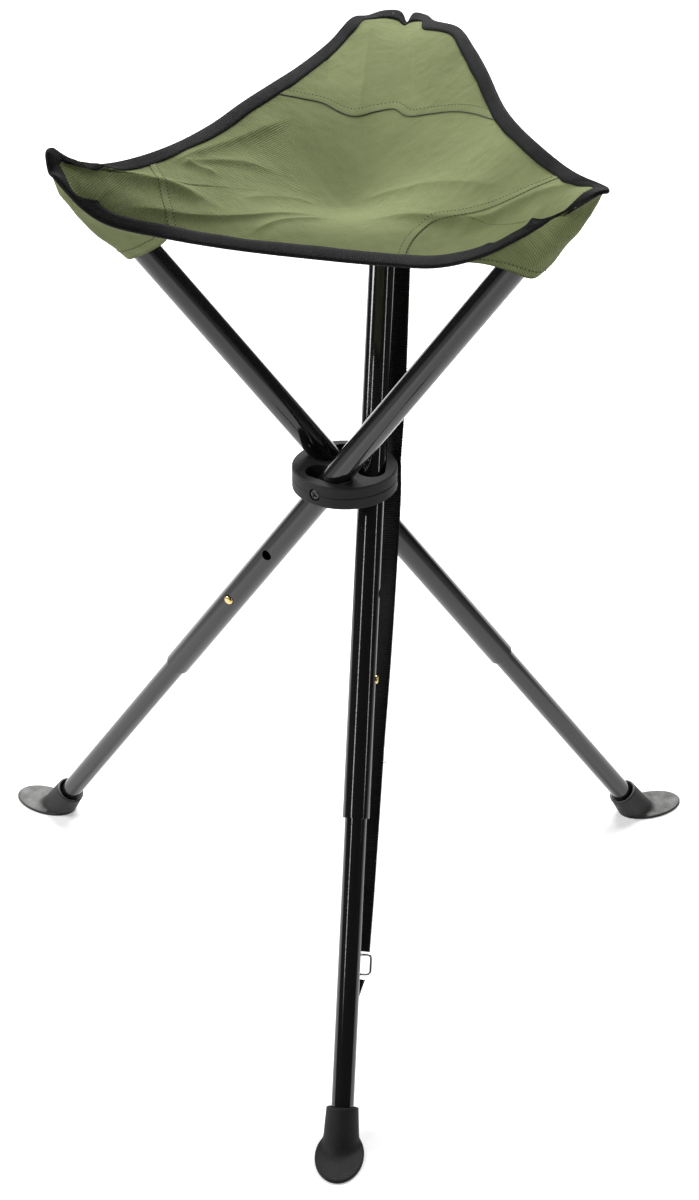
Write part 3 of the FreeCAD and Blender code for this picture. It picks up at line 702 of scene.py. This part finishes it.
def make_seat():
    middle = np.array([[0, 0, seat_height([(0, 0)])[0]]])
    drop = UP * SHEET_THICKNESS
    for leg, steps in sectors():
        top = SEAT[:, steps].reshape(-1, 3)
        normal = SEAT_NORMAL[:, steps].reshape(-1, 3)
        rows, columns = len(SHARES), len(steps)
        points = np.vstack([top, middle, top - normal * SHEET_THICKNESS, middle - drop])
        count = len(top) + 1
        faces = [face[::-1] for face in grid_faces(rows, columns)]
        faces += [(j, j + 1, count - 1) for j in range(columns - 1)]
        under = [tuple(index + count for index in face[::-1]) for face in faces]
        edge = (rows - 1) * columns
        outer = [(edge + j + 1, edge + j, edge + j + count, edge + j + 1 + count)
                 for j in range(columns - 1)]
        for j in (0, columns - 1):
            side = [count - 1] + [i * columns + j for i in range(rows)]
            outer += [(a, b, b + count, a + count)[::1 if j else -1] for a, b in zip(side, side[1:])]
        piece = add_mesh("seat_cloth_" + leg, to_row(points), faces + under + outer, uv=points[:, :2] * MM)
        upward = np.vstack([normal, [[0, 0, 1]]])
        set_normals(piece, np.vstack([upward, -upward]))
        sew(piece)
        if leg == "front":
            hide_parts("seat_panel")


# ---------------------------------------------------------------- binding

BINDING_WIDTH = 10.2
BINDING_THICK = 1.8
BINDING_ROWS = 5         # rows of tape for each rim step
BINDING_RIB = 1.9
BINDING_RIB_HEIGHT = 0.10
TAPE_RINGS = 26          # the outer rings of the seat that the tape can reach over


def smooth_round(values, window):
    """Average each rim step's values with its neighbours'."""
    total = sum(np.roll(values, k, 0) for k in range(-window, window + 1))
    return total / (2 * window + 1)


def binding_section():
    """(inward, up) of the tape folded round the edge, from its upper hem to its lower one."""
    half = BINDING_THICK
    nose = [(-half * 0.9 * math.cos(a), half * math.sin(a)) for a in np.radians([70, 35, 0, -35, -70])]
    upper = [(BINDING_WIDTH, 0.1), (BINDING_WIDTH - 0.2, 1.0), (BINDING_WIDTH * 0.7, 1.35),
             (BINDING_WIDTH * 0.35, half), (0.6, half * 1.02)]
    lower = [(x, -y) for x, y in reversed(upper)]
    return upper + nose + lower


def tape_reach():
    """How much farther along the way to the middle the tape's width reaches at each rim step."""
    into = unit(SEAT[-6] - SEAT[-1])
    along = unit(smooth_round(np.roll(RIM, -1, 0) - np.roll(RIM, 1, 0), 2))
    slant = np.linalg.norm(np.cross(into, along), axis=1)
    return into, smooth_round(1 / np.maximum(slant, 0.45), 4)


OVERLAP_STEP = 210       # the rim step where the tape's ends overlap
OVERLAP_RUN = 22.0
OVERLAP_LOSS = 0.24


def tape_width():
    """The tape's share of its full width at each rim step; under the overlap it is narrower."""
    step = np.arange(RIM_STEPS)
    wander = np.sin(step / 9.0) * 0.03 + np.sin(step / 3.4 + 1) * 0.015
    past = np.maximum(step - OVERLAP_STEP, 0) / OVERLAP_RUN
    overlap = np.where(step >= OVERLAP_STEP, np.exp(-past**2), 0)
    return 1 + wander - OVERLAP_LOSS * overlap


def tape_lines():
    """Points and normals at each rim step for every point of the tape's section."""
    into, stretch = tape_reach()
    width = tape_width()
    columns = SEAT[::-1][:TAPE_RINGS]
    normals = smooth_round(SEAT_NORMAL[::-1][0], 4)
    normals = unit(normals - into * (normals * into).sum(1)[:, None])
    gaps = np.linalg.norm(np.diff(columns, axis=0), axis=2)
    travel = np.vstack([np.zeros(RIM_STEPS), np.cumsum(gaps, axis=0)])
    lines = []
    for x, y in binding_section():
        if x <= 0.6:
            base = RIM + into * x
        else:
            reach = np.minimum(x * stretch * width, travel[-1])
            base = np.array([read_at(reach[k], travel[:, k], columns[:, k]) for k in range(RIM_STEPS)])
        lines.append(base + normals * y)
    return np.array(lines).transpose(1, 0, 2), normals


def make_binding():
    lines, normals = tape_lines()
    section = binding_section()
    count = len(section)
    steps = RIM_STEPS * BINDING_ROWS

    def spread(values):
        ring = np.vstack([values, values[:1]])
        return read_at(np.arange(steps) / BINDING_ROWS, np.arange(RIM_STEPS + 1), ring)

    rim, up = spread(RIM), unit(spread(normals))
    travel = travel_along(rim)
    rib = np.sin(travel * 2 * math.pi / BINDING_RIB) * BINDING_RIB_HEIGHT
    grid = np.zeros((steps, count, 3))
    for j, (x, y) in enumerate(section):
        grid[:, j] = spread(lines[:, j]) + up * (np.sign(y) * rib * min(abs(y), 1))[:, None]
    across = np.cumsum([0] + [math.dist(a, b) for a, b in zip(section, section[1:])])
    for leg, rim_steps in sectors():
        first = rim_steps[0] * BINDING_ROWS
        rows = [(first + k) % steps for k in range((len(rim_steps) - 1) * BINDING_ROWS + 1)]
        uv = np.array([(across[j] * MM, travel[row] * MM) for row in rows for j in range(count)])
        faces = grid_faces(len(rows), count, wrap_columns=True)
        piece = add_mesh("edge_tape_" + leg, to_row(grid[rows].reshape(-1, 3)), faces, uv=uv)
        finish_piece(piece, "binding_tape")
        follow_leg(piece)
        if leg == "front":
            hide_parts("edge_binding")


# ---------------------------------------------------------------- seams and stitches

# Where the corner patches are sewn to the seat: points as (azimuth, radius), per corner.
SEAMS = {
    "front": [(125, 112), (114, 106), (104, 101), (96, 92), (88, 88), (80, 93), (70, 97), (61, 92),
              (50, 97), (38, 105), (26, 112), (14, 119)],
    "right": [(-172, 150), (-165, 146), (-159, 144), (-152, 146), (-146, 149), (-142, 152)],
    "left": [(-65, 119), (-61, 106), (-53, 97), (-44, 97), (-38, 115), (-34, 138), (-31, 162),
             (-28, 184), (-24, 203)],
}
SEAM_WIDTH = 6.5
STITCH_PITCH = 3.1
STITCH_LENGTH = 2.1


def seam_line(points, spacing=1.2):
    """Places along a seam, clipped to lie inside the binding."""
    places = [polar(*p) for p in points]
    line = curve_through(places, int(length_of(curve_through(places, 200)) / spacing))
    return np.array([place for place in line if inside_binding(place)])


def inside_binding(place):
    rim_azimuth = np.arctan2(RIM[:, 1], RIM[:, 0])
    gap = np.abs((rim_azimuth - math.atan2(place[1], place[0]) + math.pi) % (2 * math.pi) - math.pi)
    edge = RIM[int(np.argmin(gap)), :2]
    return np.linalg.norm(place) < np.linalg.norm(edge) - BINDING_WIDTH * 0.35


def side_way(line):
    """At each place of a line, the level direction across it."""
    run = unit(np.gradient(line, axis=0))
    return np.array([run[:, 1], -run[:, 0]]).T


def ribbon(name, line, width, lift, thickness):
    """A thin band sewn flat on the seat along a line of places."""
    side = side_way(line)
    profile = [(-0.5, -0.1), (-0.46, 0.75), (-0.3, 1.0), (0.0, 0.92), (0.3, 1.0), (0.46, 0.75), (0.5, -0.1)]
    columns = []
    for x, y in profile:
        places = line + side * (x * width)
        columns.append(np.c_[places, seat_height(places) + lift + y * thickness])
    grid = np.stack(columns, axis=1)
    count = len(profile)
    uv = grid.reshape(-1, 3)[:, :2] * MM + 0.37
    faces = grid_faces(len(line), count)
    return add_mesh(name, to_row(grid.reshape(-1, 3)), faces, uv=uv)


def stitch_row(points, normals, radius=0.36, pitch=STITCH_PITCH, length=STITCH_LENGTH):
    """Points and faces of short threads laid along a line of 3-D points, in millimetres."""
    travel = travel_along(points)
    made, faces = [], []
    sides = 6
    # along the thread, its fatness, and its rise
    shape = [(-0.5, 0.15, -0.7), (-0.38, 0.8, -0.1), (0.0, 1.0, 0.25), (0.38, 0.8, -0.1), (0.5, 0.15, -0.7)]
    for start in np.arange(pitch * 0.3, travel[-1] - length, pitch):
        ring_start = len(made)
        for along, fat, rise in shape:
            middle = start + length * (0.5 + along)
            centre = read_at(middle, travel, points)
            up = unit(read_at(middle, travel, normals))
            side = unit(np.cross(up, read_at(middle + 0.5, travel, points) - centre))
            for k in range(sides):
                angle = 2 * math.pi * k / sides
                way = side * math.cos(angle) + up * (math.sin(angle) * 0.8 + rise)
                made.append(centre + way * radius * fat)
        faces += grid_faces(len(shape), sides, wrap_columns=True, start=ring_start)
    return made, faces


def seam_stitches(leg, line, offsets, lift=0.5):
    """Rows of stitches at offsets from a seam's middle line."""
    points, faces = [], []
    side = side_way(line)
    for offset in offsets:
        places = line + side * offset
        path = np.c_[places, seat_height(places) + lift]
        normals = np.tile(UP, (len(path), 1))
        made, quads = stitch_row(path, normals)
        add_faces(faces, len(points), quads)
        points += made
    piece = add_mesh("seam_stitches_" + leg, to_row(points), faces)
    sew(piece, OLIVE_THREAD_AND_SHADE)


def crease_shadow_cord(leg, line, offset, radius=0.45, sides=6):
    """A fine dark cord along a seam, at the edge of the patch's turned hem: painted shade, standing for the shadow
    in the crease under that edge.
    """
    places = line + side_way(line) * offset
    path = np.c_[places, seat_height(places) + 0.25]
    side = unit(np.cross(np.gradient(path, axis=0), UP))
    angles = np.linspace(0, 2 * math.pi, sides, endpoint=False)
    grid = np.stack([path + radius * (side * math.cos(a) + UP * math.sin(a)) for a in angles], axis=1)
    faces = grid_faces(len(path), sides, wrap_columns=True)
    piece = add_mesh("seam_crease_shadow_" + leg, to_row(grid.reshape(-1, 3)), faces)
    sew(piece, OLIVE_THREAD_AND_SHADE)


def make_seams():
    for leg, points in SEAMS.items():
        line = seam_line(points)
        band = ribbon("seam_" + leg, line, SEAM_WIDTH, 0.0, 0.55)
        sew(band)
        inset = SEAM_WIDTH * 0.42
        if leg == "front":
            # a dark cord of painted shade along the edge of the front seam's band
            crease_shadow_cord(leg, line, SEAM_WIDTH * 0.52)
            seam_stitches(leg, line, (-inset,))
        else:
            seam_stitches(leg, line, (-inset, inset))


# ---------------------------------------------------------------- corner pockets

# For each corner: the rim steps, either side of its tip, where the hem ends; the hem's height
# up the leg at its two ends' sides; and the pocket's lowest line from the tip to the hem, as
# (distance behind the leg's axis, height up the leg).
POCKETS = {
    "right": (-66, 60, [(13.0, 377), (21.0, 352), (22.5, 330), (20.0, 303), (14.5, 272)]),
    "left": (-80, 62, [(14.0, 392), (18.5, 368), (20.0, 345), (19.5, 320), (18.5, 296)]),
    "front": (-66, 66, [(3.0, 387), (14.0, 364), (18.0, 338), (17.0, 312), (15.0, 286)]),
}
POCKET_ROWS = 34
POCKET_COLUMNS = 49
POCKET_THICKNESS = 0.8
STITCHED_ROW = 4         # rows from the hem


def sling(first, second, radius, depth, count):
    """From first to second, hanging under a circle at the origin: tangents joined by its arc."""
    centre = np.array([0.0, depth])

    def tangent(point, sign):
        away = point - centre
        distance = max(np.linalg.norm(away), radius * 1.001)
        return math.atan2(away[1], away[0]) + sign * math.acos(radius / distance)

    start, end = tangent(first, 1), tangent(second, -1)
    while end < start:
        end += 2 * math.pi
    if end - start > math.pi * 1.6:
        return np.linspace(first, second, count)
    arc = [centre + radius * np.array([math.cos(a), math.sin(a)]) for a in np.linspace(start, end, 12)]
    return curve_even(np.vstack([first, *arc, second]), count)


def curve_even(points, count):
    travel = travel_along(points)
    return read_at(np.linspace(0, travel[-1], count), travel, points)


def corner_tip(leg):
    """The rim step farthest out over a leg."""
    return int(np.argmax(RIM @ LEGS[leg].away))


def pocket_row(leg, share):
    """One line of the pocket across the leg, in the leg's frame; share is 0 at the tip."""
    before, after, bottoms = POCKETS[leg]
    tip = corner_tip(leg)
    steps = [round(tip + before * share) % RIM_STEPS, round(tip + after * share) % RIM_STEPS]
    ends = LEGS[leg].local(RIM[steps] * (0.985, 0.985, 1)) + (0, 1.6, 0)
    places = np.linspace(0, 1, len(bottoms))
    behind, height = (np.interp(share, places, [b[k] for b in bottoms]) for k in (0, 1))
    radius = min(4.0 + 9.5 * float(smooth_step(share / 0.5)), max(behind - ends[:, 1].max(), 2.5))
    flat = sling(ends[0, :2], ends[1, :2], radius, behind - radius, POCKET_COLUMNS)
    hang = np.linspace(0, 1, POCKET_COLUMNS)
    straight = ends[0, 2] + (ends[1, 2] - ends[0, 2]) * hang
    belly = np.sin(math.pi * hang) ** 0.7
    level = straight * (1 - belly) + height * belly
    crumple = (np.sin(hang * 31 + share * 9) * 0.6 + np.sin(hang * 17 - share * 14) * 0.7) * belly * share
    flat[:, 1] += crumple * (flat[:, 1] > 0)
    return np.c_[flat, level]


def pocket_cut(leg):
    """A pocket's patch as cut: (width, length) and area, in metres.

    Two flat triangles that share the patch's lowest line; each also has one sewn edge, as
    long as the tape beside it, and half of the hem. The hem's length is read from the drawn
    patch's last row, with its crumples; nothing else of the drawn surface is used.
    """
    before, after, bottoms = POCKETS[leg]
    tip = corner_tip(leg)
    hem = length_of(pocket_row(leg, 1.0)) * MM
    lowest = length_of([(0.0, *LEGS[leg].local(RIM[tip])[1:]), *((0.0, *point) for point in bottoms)]) * MM
    sewn = edge_length((tip + before) % RIM_STEPS, tip), edge_length(tip, (tip + after) % RIM_STEPS)
    area = sum(triangle_area(edge, hem / 2, lowest) for edge in sewn)
    return (round(hem, 3), round(lowest, 3)), round(area, 4)


def make_pocket(leg):
    shares = np.linspace(0.05, 1, POCKET_ROWS)
    grid = np.array([pocket_row(leg, share) for share in shares])
    normal = unit(np.cross(np.gradient(grid, axis=0), np.gradient(grid, axis=1)))
    if (normal[..., 1] * (grid[..., 1] + 20)).sum() < 0:
        normal = -normal
    outer = grid.reshape(-1, 3)
    inner = (grid - normal * POCKET_THICKNESS).reshape(-1, 3)
    count = len(outer)
    quads = grid_faces(POCKET_ROWS, POCKET_COLUMNS)
    faces = quads + [tuple(i + count for i in face[::-1]) for face in quads]
    last = (POCKET_ROWS - 1) * POCKET_COLUMNS
    border = [*range(POCKET_COLUMNS), *range(2 * POCKET_COLUMNS - 1, count, POCKET_COLUMNS),
              *range(count - 2, last - 1, -1), *range(last - POCKET_COLUMNS, -1, -POCKET_COLUMNS)]
    faces += [(a, b, b + count, a + count) for a, b in zip(border, border[1:])]
    spread = np.vstack([outer[:, [0, 2]]] * 2) * MM * (1.2, 1.0)
    own = LEGS[leg]
    points = to_row(own.to_seat(np.vstack([outer, inner])))
    piece = add_mesh("corner_pocket_" + leg, points, faces, uv=spread)
    sew(piece)
    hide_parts("seat_pocket_" + leg)
    flat, area = pocket_cut(leg)
    row = POCKET_ROWS - STITCHED_ROW
    made, quads = stitch_row(own.to_seat(grid[row] + normal[row] * 0.25), normal[row] @ own.axes)
    sewn = add_mesh("pocket_stitches_" + leg, to_row(made), quads)
    sew(sewn, OLIVE_THREAD_AND_SHADE)


# ---------------------------------------------------------------- strap

FRONT = LEGS["front"]
STRAP_WIDTH = 25.0
STRAP_THICK = 1.6
STRAP_END = -384.0       # up the leg
RETURN_FROM, RETURN_TO = -222, -383      # the length folded back through the ring
RIM_AZIMUTH = 35.0       # where the strap passes the hub's rim
# Points in the front leg's frame; the last number turns the width from the pivot screw's
# line (0) to the rim's tangent (1).
STRAP_ROUTE = [(8.5, 14.8, 292.0, 0.0), (11.0, 14.4, 150.0, 0.3), (14.9, 15.6, 22.9, 1.0),
               (14.9, 27.0, 7.1, 1.0), (8.5, 20.2, -180.0, 0.4), (2.8, 13.4, -384.0, 0.0)]
# The tab's points, with its width there.
TAB_ROUTE = [(2.6, 13.0, -405.6, 20.0), (1.4, 11.8, -416.0, 16.0), (0.6, 10.7, -426.0, 12.0),
             (0.4, 10.5, -438.0, 12.0)]
RING_CENTRE = (2.8, 13.2, -394.5)


def webbing(name, points, across, widths, thickness, pitch=2.0):
    """Woven tape along points, its ribs and scalloped edges modelled."""
    travel = travel_along(points)
    count = int(travel[-1] / pitch * 5)
    places = np.linspace(0, travel[-1], count)
    line, side = (read_at(places, travel, values) for values in (points, across))
    width = np.interp(places, travel, widths)
    run = unit(np.gradient(line, axis=0))
    side = unit(side - run * (side * run).sum(1)[:, None])
    out = np.cross(run, side)
    rib = np.sin(places * 2 * math.pi / pitch)
    wander = np.sin(places / 31.0) * 0.25
    section = [(-0.5, 0.0), (-0.49, 0.75), (-0.42, 1.0), (-0.2, 0.94), (0.0, 0.98), (0.2, 0.94),
               (0.42, 1.0), (0.49, 0.75), (0.5, 0.0), (0.49, -0.75), (0.42, -1.0), (0.0, -0.95),
               (-0.42, -1.0), (-0.49, -0.75)]
    grid = np.zeros((count, len(section), 3))
    for j, (x, y) in enumerate(section):
        edge = abs(x) > 0.45
        reach = x * width + wander + (np.sign(x) * rib * 0.40 if edge else 0)
        thick = y * thickness / 2 + (0 if edge else np.sign(y) * rib * 0.18)
        grid[:, j] = line + side * reach[:, None] + out * np.broadcast_to(thick, count)[:, None]
    columns = len(section)
    faces = grid_faces(count, columns, wrap_columns=True)
    faces += [tuple(range(columns))[::-1], tuple(range((count - 1) * columns, count * columns))]
    uv = [(x * STRAP_WIDTH * MM, place * MM) for place in places for x, y in section]
    piece = add_mesh(name, to_row(FRONT.to_seat(grid.reshape(-1, 3))), faces, uv=uv)
    return finish_piece(piece, "strap_webbing")


def route_curve(points, steps):
    """The curve through a route's points, and their last number at each of its steps."""
    route = curve_through([p[:3] for p in points], steps)
    heights, numbers = zip(*((p[2], p[3]) for p in reversed(points)))
    return route, np.interp(route[:, 2], heights, numbers)


def strap_path():
    """The strap's middle line and the way its width lies, in the front leg's frame."""
    route, turns = route_curve(STRAP_ROUTE, 240)
    rim_way = FRONT.axes @ np.array([*polar(RIM_AZIMUTH - 90, 1.0), 0])
    return route, unit(np.outer(1 - turns, (1.0, 0, 0)) + np.outer(turns, rim_way))


def follow_front_leg(piece):
    """Works out two points up the front leg, which nothing uses, and bakes the piece's placement into its mesh;
    the piece is tied to neither tube.
    """
    FRONT.at(0, 0, 0)
    FRONT.at(0, 0, STRAP_END)
    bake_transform(piece)


def make_strap():
    route, across = strap_path()
    strap = webbing("carry_webbing", route, across, [STRAP_WIDTH] * len(route), STRAP_THICK)
    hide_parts("carry_strap")
    follow_front_leg(strap)

    # the end folded back through the ring and sewn down
    chosen = (route[:, 2] < RETURN_FROM) & (route[:, 2] > RETURN_TO)
    back = route[chosen] + (0, STRAP_THICK * 1.05, 0)
    widths = [STRAP_WIDTH - 0.8] * len(back)
    follow_front_leg(webbing("strap_return", back, across[chosen], widths, STRAP_THICK * 0.9))

    points, widths = route_curve(TAB_ROUTE, 40)
    tab = webbing("strap_loop", points, np.tile([[1.0, 0, 0]], (len(points), 1)), widths, STRAP_THICK)
    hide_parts("strap_tab")
    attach(tab, FRONT.lower)


def round_bar(name, path, radius, closed=True, sides=12):
    """A round bar along a path in the front leg's frame."""
    path = np.asarray(path, float)
    ahead, behind = np.roll(path, -1, 0), np.roll(path, 1, 0)
    if not closed:
        ahead[-1], behind[0] = path[-1], path[0]
    run = unit(ahead - behind)
    side = unit(np.cross(run, (0.0, 1.0, 0.0)))
    up = np.cross(side, run)
    angles = np.linspace(0, 2 * math.pi, sides, endpoint=False)
    grid = (path[:, None] + radius * (side[:, None] * np.cos(angles)[None, :, None]
                                      + up[:, None] * np.sin(angles)[None, :, None]))
    faces = grid_faces(len(path), sides, wrap_rows=closed, wrap_columns=True)
    return add_mesh(name, to_row(FRONT.to_seat(grid.reshape(-1, 3))), faces)


def make_frayed_threads():
    """Loose ends of the webbing's weave where the return is sewn down."""
    route, across = strap_path()
    for k, height in enumerate((-214, -217, -222, -226, -229, -158)):
        start = int(np.argmin(abs(route[:, 2] - height)))
        base = route[start] + across[start] * STRAP_WIDTH * 0.48
        curl = random.uniform(1.5, 4.0)
        drop = random.uniform(-3, 3)
        steps = np.linspace(0, 1, 8)[:, None]
        bend = np.array([0, random.uniform(-1, 1), drop])
        path = base + across[start] * steps * curl + bend * steps**2
        hair = round_bar(f"frayed_thread_{k}", path, 0.22, closed=False, sides=5)
        finish_piece(hair, "strap_webbing", BLACK_THREAD)
        follow_front_leg(hair)


def make_ring():
    """A flat loop of bent wire, rounded at its four corners."""
    half_x, half_z, bend = 12.4, 7.8, 2.6
    path = []
    for sx, sz, turn in ((1, 1, 0), (-1, 1, 90), (-1, -1, 180), (1, -1, 270)):
        centre = np.array([sx * (half_x - bend), 0, sz * (half_z - bend)])
        for angle in np.radians(np.linspace(turn, turn + 90, 7)):
            path.append(centre + bend * np.array([math.cos(angle), 0, math.sin(angle)]))
    ring = round_bar("strap_wire_loop", np.array(path) + np.array(RING_CENTRE) + (1.2, 0, 0), 1.15)
    finish_piece(ring, "ring_steel")
    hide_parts("strap_ring")
    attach(ring, FRONT.lower)


# ---------------------------------------------------------------- feet

FOOT_MOUTH = -507.0      # the sleeve's open end, up the leg
FOOT_COLUMNS = 96
PLATE_HALF_LONG, PLATE_HALF_WIDE = 31.5, 19.5
PLATE_AHEAD = 12.5       # the plate's centre, from where the leg's axis meets the floor
STUD_RADIUS, STUD_APART, STUD_BEHIND, STUD_HEIGHT = 2.1, 8.0, 15.0, 2.2
# The sleeve's end, from inside to outside: (up the leg from the mouth, radius).
SLEEVE = [(-8, 9.05), (-4, 9.1), (-3.9, 10.4), (-0.6, 10.6), (0, 11.2), (0.1, 12.2), (-0.5, 12.9),
          (-3, 13.05)]
# The plate, from its upper edge to its middle underneath: (share of the oval, height).
PLATE = [(0.93, 2.8), (0.975, 2.6), (1.0, 1.8), (1.0, 0.6), (0.985, 0.05), (0.9, 0.0), (0.5, 0.0),
         (0.12, 0.0)]


def small_ball(centre, radius, rings=7, around=10):
    points = []
    for polar_angle in np.linspace(0.15, math.pi - 0.15, rings):
        for angle in np.linspace(0, 2 * math.pi, around, endpoint=False):
            level = math.sin(polar_angle)
            way = (level * math.cos(angle), level * math.sin(angle), math.cos(polar_angle))
            points.append(centre + radius * np.array(way))
    faces = grid_faces(rings, around, wrap_columns=True)
    faces += [tuple(range(around)), tuple(range((rings - 1) * around, rings * around))]
    return points, faces


def foot_column(own, floor_point, outward, angle):
    """The foot's outline at an angle round the leg, from inside the sleeve to under the plate."""
    side, behind, axis = own.axes
    across, along = side * math.cos(angle), outward * math.sin(angle)
    away = across + along
    radial = across - behind * math.sin(angle)
    oval = across * PLATE_HALF_WIDE + along * PLATE_HALF_LONG
    sleeve = [own.origin + axis * (FOOT_MOUTH + step) + radial * radius for step, radius in SLEEVE]
    plate = [floor_point + outward * PLATE_AHEAD + oval * share + UP * height for share, height in PLATE]

    def sleeve_end(height, radius):
        """Where the sleeve's side line meets a level height above the floor."""
        start = own.origin + radial * radius
        return start + axis * ((floor_point[2] + height - start[2]) / axis[2])

    low, join = sleeve_end(7.0, 14.2), sleeve_end(3.0, 14.6)
    flare = min(max(float((plate[0] - join)[:2] @ away[:2]), 0.0), 4.0) / 4.0
    sides = [sleeve[-1] * (1 - t) + low * t for t in np.linspace(0.15, 0.85, 6)]
    skirt = [low, low * 0.45 + join * 0.55 + away * 0.6 * flare,
             join + away * 2.2 * flare + UP * 0.1 * flare]
    skirt += [join * (1 - t) + plate[0] * t + away * 2.0 * flare * (1 - t) for t in (0.4, 0.75)]
    return sleeve + sides + skirt + plate


def make_foot(leg):
    """The rubber foot: a sleeve that flows into an oval plate, with two studs under its heel."""
    own = LEGS[leg]
    outward = -own.away
    floor_point = own.origin + outward * own.pivot.z / MM * math.tan(math.acos(own.up.z))
    floor_point[2] = -HUB.z / MM
    angles = np.linspace(0, 2 * math.pi, FOOT_COLUMNS, endpoint=False)
    grid = np.array([foot_column(own, floor_point, outward, angle) for angle in angles]).transpose(1, 0, 2)
    faces = grid_faces(len(grid), FOOT_COLUMNS, wrap_columns=True)
    points = list(grid.reshape(-1, 3))
    faces.append(tuple(range(len(points) - FOOT_COLUMNS, len(points))))
    for sideways in (-STUD_APART, STUD_APART):
        middle = floor_point - outward * STUD_BEHIND + own.axes[0] * sideways + UP * STUD_HEIGHT
        ball, quads = small_ball(middle, STUD_RADIUS)
        add_faces(faces, len(points), quads)
        points += ball
    piece = add_mesh("foot_rubber_" + leg, to_row(points), faces)
    # the front foot takes the rubber copy with painted shade on its level faces
    finish_piece(piece, "foot_rubber", SHADED_TOP_RUBBER if leg == "front" else None)
    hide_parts("foot_" + leg)
    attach(piece, own.lower)


# ---------------------------------------------------------------- stage

# The photo's camera, solved from the lines of the legs; places are from the hub's centre.
CAMERA_LENS, CAMERA_SENSOR = 84.17, 36.0
CAMERA_PLACE = Vector((0.1669, -2.0103, 1.0677))
CAMERA_TARGET = Vector((0.0038, 0.0003, -0.1183))
# name: azimuth (0 in front, 90 to the right), elevation, distance, size, power
SOFTBOXES = {
    "softbox_back": (172, 50, 2.6, (2.0, 0.9), 96),
    "softbox_front_left": (-42, 31, 2.6, (0.22, 1.4), 9),
    "softbox_left": (-92, 30, 2.6, (1.2, 1.0), 46),
    "softbox_right": (70, 25, 2.8, (0.16, 1.6), 6),
}
FLOOR_HALF = 8.0
WORLD_STRENGTH = 0.06


def make_camera():
    data = bpy.data.cameras.new("camera")
    data.lens = CAMERA_LENS
    data.sensor_width = CAMERA_SENSOR
    data.sensor_fit = "AUTO"
    data.clip_end = 50
    camera = place_object("camera", data)
    camera.location = HUB + CAMERA_PLACE
    target = HUB + CAMERA_TARGET
    camera.rotation_euler = (target - camera.location).to_track_quat("-Z", "Y").to_euler()
    bpy.context.scene.camera = camera


def area_light(name, azimuth, elevation, distance, size, power):
    """A softbox that faces the hub."""
    a, e = math.radians(azimuth), math.radians(elevation)
    data = bpy.data.lights.new(name, "AREA")
    data.shape = "RECTANGLE"
    data.size, data.size_y = size
    data.energy = power
    light = place_object(name, data)
    way = Vector((math.sin(a) * math.cos(e), -math.cos(a) * math.cos(e), math.sin(e)))
    light.location = HUB + way * distance
    light.rotation_euler = (-way).to_track_quat("-Z", "Y").to_euler()


def make_stage():
    corners = [(x * FLOOR_HALF, y * FLOOR_HALF, 0) for x, y in ((-1, -1), (1, -1), (1, 1), (-1, 1))]
    floor = add_mesh("floor", corners, [(0, 1, 2, 3)], smooth=False)
    floor.data.materials.append(floor_paper())
    for name, settings in SOFTBOXES.items():
        area_light(name, *settings)
    world = bpy.data.worlds.new("studio")
    world.use_nodes = True
    background = world.node_tree.nodes["Background"]
    background.inputs["Color"].default_value = (1, 1, 1, 1)
    background.inputs["Strength"].default_value = WORLD_STRENGTH
    bpy.context.scene.world = world
    bpy.context.scene.view_settings.view_transform = "Standard"


make_camera()
make_stage()
paint_cad_nodes()
make_seat()
make_binding()
make_seams()
for leg_name in LEGS:
    make_pocket(leg_name)
    make_foot(leg_name)
make_strap()
make_frayed_threads()
make_ring()
